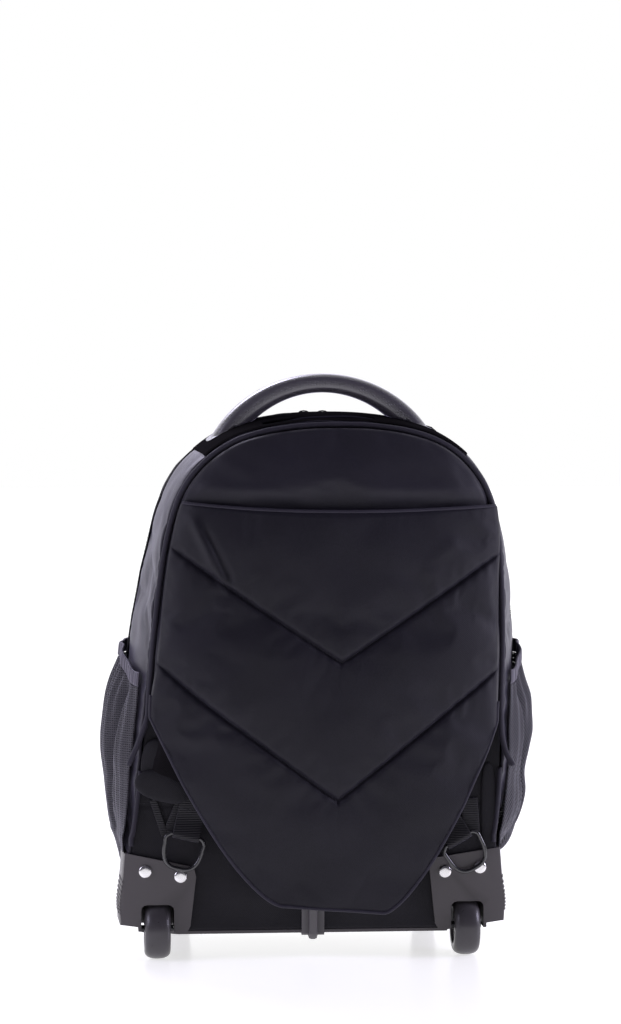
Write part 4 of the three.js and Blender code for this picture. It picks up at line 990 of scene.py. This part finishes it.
def crease_height(x, z, rows):
    """Height of soft ridges or hollows along short lines."""
    total = np.zeros(np.broadcast(x, z).shape)
    for x0, z0, x1, z1, wide, high in rows:
        dx, dz = x1 - x0, z1 - z0
        length = math.hypot(dx, dz)
        t = ((x - x0) * dx + (z - z0) * dz) / length**2
        off = ((x - x0) * dz - (z - z0) * dx) / length
        total += high * np.exp(-(off / wide) ** 2) * ease((t + 0.25) / 0.4) * ease((1.25 - t) / 0.4)
    return total


def flap_heights(u):
    """Heights of the flap's rows of points, and which of the rows are sewn."""
    last = len(FLAP_ROWS) - 1
    heights = [row_height(row, u, i == last) for i, row in enumerate(FLAP_ROWS)]
    z, sewn = [], []
    for k, count in enumerate(FLAP_STEPS):
        steps = np.arange(count) / count
        if FLAP_ROWS[k][4]:
            sewn.append(len(z))
            steps = steps**1.4
        elif FLAP_ROWS[k + 1][4]:
            steps = 1 - (1 - steps)**1.4
        z += [mix(heights[k], heights[k + 1], t) for t in steps]
    return np.array([*z, heights[last]]), sewn


def quilted_flap():
    """The flap, padded between its sewn chevrons. Returns its points and its sewn rows."""
    u = np.linspace(-1, 1, 141)
    u[np.argmin(np.abs(u - FLAP_TIP))] = FLAP_TIP
    z, sewn = flap_heights(u)
    u = np.broadcast_to(u, z.shape)
    off = [z - z[i] for i in sewn]
    groove = sum(np.exp(-np.abs(dz / GROOVE_WIDE) ** 1.4) for dz in off)
    puff = np.prod([1 - np.exp(-(dz / PUFF_WIDE) ** 2) for dz in off], axis=0)
    inside = 1 - np.abs(u) ** 30
    x = cover_centre(z) + u * flap_half(z) + flap_lap(u, z)
    pull = np.sin(2 * np.pi * (11 * u + 0.6 * np.sin(7 * u)))
    pucker = sum(np.exp(-(np.abs(dz) / PUCKER_WIDE)) for dz in off) * pull * inside
    y = cover_face(u, z) - PUFF * puff * inside - PUCKER * pucker
    grid = np.stack([x, y - crease_height(x, z, FLAP_CREASES), z], axis=-1)
    made = from_grid("cover_flap_cloth", wobble(grid, 0.035, 0.0012, 1.0), BACKWARD)
    simulate(made, edges_of(*z.shape, sewn), 1.0, 0.004, 0.0022)
    shape = points_of(made.data).reshape(*z.shape, 3) - SHIFT
    shape[..., 1] += GROOVE * groove * inside
    move_points(made.data, shape + SHIFT)
    thicken(made, 0.004)
    finish_piece(made, "cover", "nylon", "cover_flap", fill=0.6)
    return shape, sewn


def flap_trim(shape, sewn):
    """Stitches in the chevrons, the hem of the mouth and the bound free edge."""
    for n, i in enumerate(sewn):
        stitches(f"chevron_stitches_{n + 1}", shape[i, 2:-2] + np.array([0, 0.0003, 0]))
    corner = np.argmax(shape[:, 0, 2] < CORNER_AT + 0.02)
    free = np.vstack([shape[corner:-1, 0], shape[-1], shape[corner:-1, -1][::-1]])
    for name, edge, wide in (("flap_mouth_hem", shape[0][1:-1] + np.array([0, 0, 0.0004]), 0.0038),
                             ("flap_binding", resample(free, 220), 0.0046)):
        made = sweep(name, edge + np.array([0, 0.0014, 0]), bar_section(wide, 0.0030, 12, 0.8))
        finish_piece(made, "piping", "nylon")


PANEL_CREASES = [
    (-0.095, 0.398, -0.020, 0.388, 0.006, 0.0012),
    (0.040, 0.388, 0.120, 0.392, 0.007, 0.0012),
    (-0.080, 0.420, -0.050, 0.405, 0.006, 0.0010),
    (-0.112, 0.388, -0.086, 0.378, 0.0035, 0.0022),
    (-0.080, 0.386, -0.058, 0.379, 0.003, 0.0014),
    (0.098, 0.380, 0.126, 0.388, 0.0035, 0.0020),
]


def cover_panel():
    """The panel under the flap, with its rim sewn into the piping."""
    inset = PIPE + GAP
    mouth = height_at(FLAP_ROWS[0][0])
    s = seam_stations(241)
    s = s[s[:, 1] > SHEET_FOOT]
    rim = closed_below(s[:, :2] - s[:, 2:] * inset)
    centre = np.array([0.0, mix(rim[0, 1], mouth, 0.75)])
    x, z = np.moveaxis(disc_grid(rim, centre, np.linspace(1, 0.04, 48)), -1, 0)
    u = np.clip(x / np.maximum(0.001, flap_half(z)), -1, 1)
    x = x + lean_at(z, 0)
    under = ease((mouth + 0.014 - z) / 0.02)
    face = cover_face(u, z) + mix(0.0022, flap_thick(u) + 0.0024, under)
    face = face - crease_height(x, z, PANEL_CREASES) * (1 - under)
    grid = np.stack([x, np.minimum(face, -GAP - SHEET), z], axis=-1)
    made = from_disc("cover_panel_cloth", wobble(grid, 0.04, 0.001, 2.0), BACKWARD)
    pins = np.arange(len(made.data.vertices)) < grid.shape[1]
    simulate(made, pins, 0.6, 0.006, 0.002)
    thicken(made, SHEET - THINNER)
    finish_piece(made, "panel", "nylon", "cover_panel", fill=0.5)


def cover_piping():
    """The thick piping round the cover, which runs out in two free ends."""
    inset = PIPE / 2
    y = -inset - GAP
    s = seam_stations(241)
    s = s[s[:, 1] > CORNER_AT + 0.012]
    over = np.column_stack([s[:, 0] - s[:, 2] * inset + lean_at(s[:, 1], 0), np.full(len(s), y),
                            s[:, 1] - s[:, 3] * inset])
    left, right = [[(side * (half_at(CORNER_AT - down) - inset + out) + lean_at(CORNER_AT, 0), y,
                     CORNER_AT - down) for out, down in rows] for side, rows in PIPING_ENDS]

    def section(t):
        wave = 1 + 0.03 * math.sin(180 * t) + 0.02 * math.sin(67 * t)
        return bar_section((PIPE - 0.0006) * wave, (PIPE - 0.0006) * wave, 20)

    made = sweep("cover_piping_cloth", smooth_curve([*left[::-1], *over[::4], *right], 340), section)
    finish_piece(made, "piping", "nylon", "cover_piping", fill=0.9)


def seam_piping(name, side):
    radius = 0.002
    z = np.linspace(HOUSING_HIGH + 0.016, CORNER_AT - 0.04 - PIPE, 40)
    x = side * (half_at(z) - radius - 0.0005) + lean_at(z, 0)
    path = np.column_stack([x, np.full(len(z), -radius - GAP), z])
    made = sweep(f"seam_piping_cloth_{name}", path, bar_section(0.0038, 0.0038, 14))
    finish_piece(made, "piping", "nylon", f"seam_piping_{name}")


# The net pockets

def net_out(share, up, name):
    across = np.sin(np.pi * share) ** 0.8
    fold = 0.5 + 0.5 * np.sin(2 * np.pi * NET_GATHERS * share)
    bulge = (NET_BULGE[name] - NET_FOLD) * read(NET_ROWS[name], up)
    return TOOTH + 2 * GAP + across * (bulge + NET_FOLD * fold * ease(2 * up))


def net_places(count):
    """Places across the net from its rear end to its fore end: shares, and the rim's heights."""
    share = np.clip(np.linspace(0, 1, count), 1e-9, 1 - 1e-9)[None, :]
    return share, mix(NET_RIM_REAR, NET_RIM_FORE, ease(1.8 * share))


def net_pocket(name, side):
    share, rim = net_places(131)
    up = np.linspace(0, 1, 96)[:, None]
    z = mix(mix(NET_LOW_REAR, NET_LOW_FORE, ease((share - 0.3) / 0.15)), rim, up)
    y = np.broadcast_to(mix(NET_FROM, NET_TO, share), z.shape)
    across = np.sin(np.pi * share) ** 0.5
    wander = 1.6 * np.sin(2.3 * up + 5 * share) + 0.5 * np.sin(9 * up)
    fine = np.sin(2 * np.pi * 13 * share + wander) * (0.25 + 0.75 * up**2)
    deep = np.exp(-(((share - 0.16 - 0.22 * (1 - up)) / 0.035) ** 2)) * ease(3 * up) * ease(4 * (1.1 - up))
    out = net_out(share, up, name) + across * (0.0013 * fine - 0.0085 * deep) * ease(5 * up)
    grid = flank(side, z, y, out + NET_THICK)
    made = from_grid(f"net_pocket_cloth_{name}", wobble(grid, 0.03, 0.0012, 6.0 + side),
                     np.array([side, 0, 0]), 0.0009)
    finish_piece(made, f"net_{name}", "net", f"net_pocket_{name}")


def net_binding(name, side):
    """The elastic band over the net's rim, ribbed by its gathers and folded over at both edges."""
    share, rim = net_places(221)
    t = np.linspace(0, 1, 15)[:, None]
    z = rim + GAP + t * NET_BAND
    y = np.broadcast_to(mix(NET_FROM, NET_TO, share), z.shape)
    ribs = np.abs(np.sin(np.pi * 34 * share + 0.4 * np.sin(11 * share)))
    roll = np.sqrt(np.maximum(1 - (2 * t - 1) ** 6, 0))
    out = net_out(share, 1.0, name) + NET_THICK + 0.0002 + (0.0005 + 0.0006 * ribs) * roll
    made = from_grid(f"net_binding_cloth_{name}", flank(side, z, y, out), np.array([side, 0, 0]), 0.0016)
    finish_piece(made, "elastic", "web", f"net_binding_{name}")


# The carrying handle

def carry_handle():
    """The padded handle: an arch that gets thicker at its feet, which rest on the crown."""
    stations = seam_stations(161)
    radius = (HANDLE_HALF**2 + HANDLE_RISE**2) / (2 * HANDLE_RISE)
    reach = math.asin(HANDLE_HALF / radius) * (1 + HANDLE_SUNK)
    turn = np.linspace(-reach, reach, 110)
    low = HANDLE_LEGS + HANDLE_RISE - radius
    path = np.column_stack([HANDLE_CENTRE + radius * np.sin(turn), np.full(110, HANDLE_AT),
                            low + radius * np.cos(turn)])

    def section(t):
        thick = HANDLE_THICK * mix(1, HANDLE_THICKER, ease(abs(2 * t - 1)))
        return bar_section(HANDLE_WIDE, thick, 40, 0.66)

    made = sweep("carry_handle_grip", path, section)
    for v in made.data.vertices:
        x, y, z = np.array(v.co) - SHIFT
        v.co.z = max(z, crown_height(x, y, 2 * GAP + HANDLE_TAB, stations) - 0.0001)
    weld(made, 5e-5)
    finish_piece(made, "grip", "grip", "carry_handle", fill=0.95)


# Straps

def shoulder_strap(name, column):
    """The padded end of a stowed shoulder strap."""
    fall, *columns, wides = np.array(STRAP_ROWS).T
    t = np.linspace(0, 1, 60)
    middle = BODY_HALF * read(list(zip(fall, columns[column])), t * fall[-1])
    path = np.column_stack([middle, np.full(60, -GAP - STRAP_PAD / 2), height_at(STRAP_TOP - t * fall[-1])])

    def section(s):
        wide = BODY_HALF * float(read(list(zip(fall, wides)), s * fall[-1])) - 0.003
        return bar_section(STRAP_PAD - 0.002, wide, 48, 0.6)

    made = sweep(f"shoulder_strap_cloth_{name}", path, section)
    remesh_and_puff(made, 0.0045, 4.0, 0.001)
    finish_piece(made, "dark", "nylon", f"shoulder_strap_{name}", fill=0.7)


def remesh_and_puff(made, voxel, pressure, limit):
    """Voxel remesh, then cloth under pressure, then one subdivision."""
    mod = configure(made.modifiers.new("remesh", "REMESH"), mode="VOXEL", voxel_size=voxel,
                    use_smooth_shade=True)
    graph = bpy.context.evaluated_depsgraph_get()
    mesh = bpy.data.meshes.new_from_object(made.evaluated_get(graph))
    made.modifiers.remove(mod)
    made.data = mesh
    simulate(made, np.zeros(len(mesh.vertices), bool), pressure, 0.0, limit, 16)
    made.modifiers.new("smooth", "SUBSURF").levels = 1
    made.modifiers["smooth"].render_levels = 1


def flat_web(name, node, ends, wide):
    """A thin webbing with slightly rounded edges that lies on the back wall."""
    (x0, z0), (x1, z1) = ends
    t = np.linspace(0, 1, 30)
    y = -GAP - WEB_THICK / 2 - WEB_BOW * np.sin(np.pi * t)
    path = np.column_stack([mix(x0, x1, t), y, mix(z0, z1, t)])
    made = sweep(name, path, bar_section(WEB_THICK, wide, 16, 0.45))
    finish_piece(made, "web", "web", node)


def soft_end(name, look, rows, thick, off):
    """A soft puffed strip of strap through rows of (x, z, half width)."""
    x, z, half = smooth_curve(rows, 40).T
    path = np.column_stack([x, np.full(40, -GAP - off - thick / 2), z])

    def section(t):
        wide = 2 * float(np.interp(t, np.linspace(0, 1, 40), half))
        end = max(0.15, (1 - abs(2 * t - 1) ** 5) ** 0.5)
        return bar_section(thick * end, wide * end, 28, 0.85)

    finish_piece(sweep(name, path, section), look, "nylon", fill=0.7)


def tilted(place, points):
    x, z, degrees = place
    c, s = math.cos(math.radians(degrees)), math.sin(math.radians(degrees))
    p = np.asarray(points, float)
    return np.column_stack([x + p[:, 0] * c + p[:, 2] * s, p[:, 1], z - p[:, 0] * s + p[:, 2] * c])


RING_AT = -(3 * GAP + HOUSING_PLATE + RIVET_HIGH + RING_WIRE / 2)


def strap_ring(name, place):
    """A ring like a D: a straight bar above, rounded corners and a bow below."""
    bend = 0.22 * RING_HALF
    turn = np.pi * np.linspace(0, 1, 25)[1:-1]
    wide = np.sign(np.cos(turn)) * np.abs(np.cos(turn)) ** 0.7
    bow = np.column_stack([RING_HALF * wide, np.full(23, RING_AT), -RING_DROP * np.sin(turn) ** 0.6])
    straight = [(s * (RING_HALF - bend), RING_AT, 0) for s in (-1, -0.5, 0, 0.5, 1)]
    loop = [*straight, (RING_HALF, RING_AT, -bend), *bow, (-RING_HALF, RING_AT, -bend)]
    line = smooth_curve([*loop, loop[0]], 121)[:-1]
    made = sweep(f"strap_ring_wire_{name}", tilted(place, line), bar_section(RING_WIRE, RING_WIRE, 16),
                 looped=True)
    finish_piece(made, "ring", "ringMetal", f"strap_ring_{name}")


def ring_web(name, place):
    """Webbing folded round a ring's straight bar; its two legs run up together."""
    round_bar = RING_WIRE / 2 + GAP + WEB_THICK / 2
    near = -(2 * GAP + 1.5 * WEB_THICK)
    far = near - GAP - WEB_THICK
    turn = np.pi * np.linspace(0, 1, 15)
    fold = np.column_stack([np.zeros(15), RING_AT - round_bar * np.cos(turn), -round_bar * np.sin(turn)])
    legs = np.vstack([[(0, far, 0.038), (0, far, 0.026), (0, far - 0.0004, 0.014)], fold,
                      [(0, near - 0.0004, 0.014), (0, near, 0.030)]])
    path = smooth_curve(tilted(place, legs), 90)
    across = tilted((0, 0, place[2]), [(1, 0, 0)])[0]
    band = bar_section(WEB_WIDE - 0.0004, WEB_THICK - 0.0003, 20, 0.4)
    finish_piece(sweep(f"ring_web_band_{name}", path, band, across), "web", "web", f"ring_web_{name}")
    y = far - WEB_THICK / 2 - 0.0001
    for n, z in enumerate((0.012, 0.022)):
        line = tilted(place, [(x, y, z) for x in np.linspace(-0.009, 0.009, 12)])
        stitches(f"ring_web_stitches_{name}_{n + 1}", line)


# Hard parts

def turned_piece(name, axis, centre, profile, sides, degrees, *finish, body="bag"):
    finish_piece(sharpen(turned(name, axis, centre, profile, sides), degrees), *finish, body=body)


def rivet(name, side, key):
    x, z = RIVETS[key]
    z += RIVET_LIFT[f"{key}_{name}"]
    edge = -0.25 * RIVET_HIGH
    dome = [(RIVET_RADIUS * math.cos(t) ** 0.55, edge - 0.75 * RIVET_HIGH * math.sin(t) ** 0.9)
            for t in np.linspace(0, np.pi / 2, 12)[1:-1]]
    profile = [(0, 0), (RIVET_RADIUS, 0), (RIVET_RADIUS, edge), *dome, (0, -RIVET_HIGH)]
    turned_piece(f"rivet_head_{key}_{name}", "y", (side * x, -2 * GAP - HOUSING_PLATE, z), profile, 40, 50,
                 "nickel", "rivetMetal", f"rivet_{key}_{name}")


def mirrored(profile):
    return [*profile, *[(r, -a) for r, a in reversed(profile)]]


def wheel(name, side):
    """Tyre with a rounded tread, hub with a dished face, and the axle."""
    centre = (side * WHEEL_AT, WHEEL_INSET, WHEEL_RADIUS)
    half = WHEEL_WIDTH / 2
    inner, outer = HUB_RADIUS + GAP, WHEEL_RADIUS
    middle = mix(inner, outer, 0.35)
    shoulder = [(mix(middle, outer, math.sin(t) ** 0.85), -half * 0.95 * math.cos(t) ** 0.8)
                for t in np.linspace(0.0, np.pi / 2, 16)]
    tyre = [(inner, -0.78 * half), (mix(inner, outer, 0.1), -0.93 * half), *shoulder[:-1]]
    tyre = [*tyre, shoulder[-1], *mirrored(tyre)[len(tyre):]]
    turned_piece(f"tyre_rubber_{name}", "x", centre, tyre, 72, 45, "rubber", "rubber", f"tyre_{name}",
                 body=f"wheel_{name}")
    wide, dish = 0.75 * half, 0.45 * half
    face = [(WHEEL_BORE, -wide), (RIM_RADIUS - 0.001, -wide), (RIM_RADIUS, -wide + 0.001),
            (RIM_RADIUS + 0.0015, -dish), (HUB_RADIUS - 0.003, -dish), (HUB_RADIUS - 0.0015, -wide + 0.0005),
            (HUB_RADIUS, -wide)]
    turned_piece(f"hub_disc_{name}", "x", centre, mirrored(face), 64, 40, "hub", "plastic", f"hub_{name}",
                 body=f"wheel_{name}")
    reach = WELL_HALF - GAP
    rod = mirrored([(0, -reach), (PIN_RADIUS, -reach)])
    turned_piece(f"axle_pin_{name}", "x", centre, rod, 32, 38, "steel", "steel", f"axle_{name}")


def front_foot(name, side):
    top = FLOOR_CLEAR - GAP
    curve = [(FOOT_BASE - FOOT_ROUND + FOOT_ROUND * math.cos(t), FOOT_ROUND + FOOT_ROUND * math.sin(t))
             for t in np.linspace(-np.pi / 2, 0, 8)]
    profile = [(0, 0), *curve, (FOOT_TOP, top), (0, top)]
    turned_piece(f"front_foot_rubber_{name}", "z", (side * FOOT_X, FOOT_Y, 0), profile, 48, 50,
                 "rubber", "rubber", f"front_foot_{name}")


def pull_up_tubes(name):
    """Round tubes in place of the frame's faceted ones, each on its own body."""
    for stage, body in (("tube", "bag"), ("mid", "pull_mid"), ("inner", "pull_grip")):
        node = f"trolley_{stage}_{name}"
        low, high = (np.array(c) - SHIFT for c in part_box(node))
        radius = (high[1] - low[1]) / 2
        bore = radius - 0.001
        x, y, _ = (low + high) / 2
        profile = [(bore, low[2]), (radius, low[2]), (radius, high[2]), (bore, high[2])]
        turned_piece(node + "_round", "z", (x, y, 0), profile, 40, 38, "tube", "tube", node, body=body)


def hard_copy(node, look, slot_name, width, place=None, body="bag"):
    """Dresses a copy of a CAD node; place gives each point's new place from its x, y and z."""
    made = from_cad(node, width)
    for v in made.data.vertices if place else ():
        v.co = Vector(place(*(np.array(v.co) - SHIFT)) + SHIFT)
    finish_piece(made, look, slot_name, node, body=body)


def housing_shape(name):
    """Slopes a housing's lower edge, raises its upper edge and rounds it out at the side."""
    outer, inner = HOUSING_TOP_LIFT[name]

    def place(x, y, z):
        across = np.clip((abs(x) - HOUSING_INNER) / (BODY_HALF - HOUSING_INNER), 0, 1)
        low = HOUSING_LIFT + HOUSING_SLOPE * across * (BODY_HALF - HOUSING_INNER)
        up = low * (1 - ease((z - 0.024) / 0.03)) + mix(inner, outer, across) * ease((z - 0.056) / 0.02)
        round_out = HOUSING_ROUND * ease((abs(x) - 0.145) / 0.012) * np.sin(np.pi * ease((z - 0.02) / 0.06))
        return x + math.copysign(round_out, x), y, z + up

    return place


def hard_copies():
    """Frame pieces whose shape stays or changes a little, with rounded edges and their own materials."""
    upturned = {"base_board": lambda x, y, z: (x, y, z + base_edge(x) - BASE_Z)}
    for node, look, width, body in (("base_board", "plastic", 0.0006, "bag"),
                                    ("kick_rail", "rail", 0.0006, "bag"),
                                    ("trolley_cup", "black", 0.0003, "bag"),
                                    ("trolley_grip", "black", 0.0006, "pull_grip"),
                                    ("pouch_zip_pull", "coil", 0.0003, "bag")):
        hard_copy(node, look, "plastic", width, upturned.get(node), body)
    for name in SIDES:
        hard_copy(f"wheel_housing_{name}", "plastic", "plastic", 0.0004, housing_shape(name))
        pull = f"zip_pull_{name}"
        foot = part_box(pull)[0][2] - SHIFT[2]
        hard_copy(pull, "coil", "plastic", 0.0003,
                  lambda x, y, z: (x - PULL_ASIDE, y, mix(foot, z, PULL_FLAT) - PULL_DROP))
    for name in SIDES:
        hard_copy(f"handle_tab_{name}", "dark", "web", 0.0003, lambda x, y, z: (x, y, z - TAB_DROP))


# Everything in its place
back_cloth()
gusset_cloth("rear_gusset", "side", 0.0, ZIP_AT - GAP, 27, 1.0, slot_cut=True)
crown_shade_patch()
gusset_cloth("front_gusset", "front", ZIP_AT + ZIP_WIDTH + GAP, DEPTH, 29, 2.0)
main_zip()
front_panel()
front_pouch()
cover_panel()
flap_shape, sewn_rows = quilted_flap()
flap_trim(flap_shape, sewn_rows)
cover_piping()
carry_handle()
for name, side in SIDES.items():
    parts = LOWER_PARTS[name]
    seam_piping(name, side)
    net_pocket(name, side)
    net_binding(name, side)
    shoulder_strap(name, 0 if side < 0 else 1)
    flat_web(f"strap_web_band_{name}", f"strap_web_{name}", parts["narrow"], WEB_NARROW)
    flat_web(f"web_tail_band_{name}", f"web_tail_{name}", parts["tail"], WEB_TAIL)
    strap_ring(name, parts["ring"])
    ring_web(name, parts["ring"])
    wheel(name, side)
    front_foot(name, side)
    pull_up_tubes(name)
    for key in RIVETS:
        rivet(name, side, key)
hard_copies()
for row in SOFT_ENDS:
    soft_end(*row)


# Floor, light and camera

# name, place, power and size
LIGHTS = [("key", (-1.9, -0.7, 1.1), 13, 0.9), ("fill", (2.1, -0.5, 0.9), 24, 0.9),
          ("rim", (-0.5, 1.2, 1.5), 16, 0.8)]
CAMERA_AT = np.array([-0.204, -2.592, 0.480])
LOOKS_AT = np.array([-0.002, 0.0, 0.375])
FOCAL_SHARE = 3120 / 1024  # focal length as a share of the image's height


def aim(made, place, at):
    made.location = place
    made.rotation_euler = (Vector(at) - Vector(place)).to_track_quat("-Z", "Y").to_euler()

def light_tent(tree):
    """A white studio: bright behind the bag, dimmer on the camera's side and overhead."""
    nodes = Nodes(tree)
    back = tree.nodes["Background"]
    generated = nodes.node("ShaderNodeTexCoord").outputs["Generated"]
    place = nodes.node("ShaderNodeSeparateXYZ", Vector=generated).outputs
    depth = nodes.spread(place["Y"], 0.085, 1.0, -0.55, 0.35, "SMOOTHSTEP")
    overhead = nodes.spread(place["Z"], 1.0, 0.7, 0.25, 0.95, "SMOOTHSTEP")
    nodes.put(nodes.maths("MULTIPLY", depth, overhead), back.inputs["Strength"])
    nodes.put(nodes.between(depth, LILAC, (1, 1, 1)), back.inputs["Color"])


def floor_and_light():
    mesh = bpy.data.meshes.new("floor")
    size = 12.0
    mesh.from_pydata([(-size, -size, 0), (size, -size, 0), (size, size, 0), (-size, size, 0)], [],
                     [(0, 1, 2, 3)])
    look = Look("floor_white", 0.22, specular=0.12)
    look.colours(look.noise(3.0), (0.78, 0.77, 0.78), (0.81, 0.80, 0.81))
    look.shader.inputs["Emission Color"].default_value = (1, 1, 1, 1)
    look.shader.inputs["Emission Strength"].default_value = 0.62
    mesh.materials.append(look.material)
    linked("floor", mesh)
    world = bpy.data.worlds.new("studio")
    bpy.context.scene.world = world
    world.use_nodes = True
    light_tent(world.node_tree)
    for name, place, power, size in LIGHTS:
        data = configure(bpy.data.lights.new(name, "AREA"), energy=power, size=size, color=LILAC)
        aim(linked(name, data), place, (0, 0, 0.25))
    bpy.context.scene.view_settings.view_transform = "Standard"


def photo_camera():
    data = bpy.data.cameras.new("camera")
    configure(data, sensor_width=36.0, lens=36.0 * FOCAL_SHARE, clip_end=50.0)
    camera = linked("camera", data)
    aim(camera, CAMERA_AT + SHIFT, LOOKS_AT + SHIFT)
    bpy.context.scene.camera = camera


floor_and_light()
photo_camera()
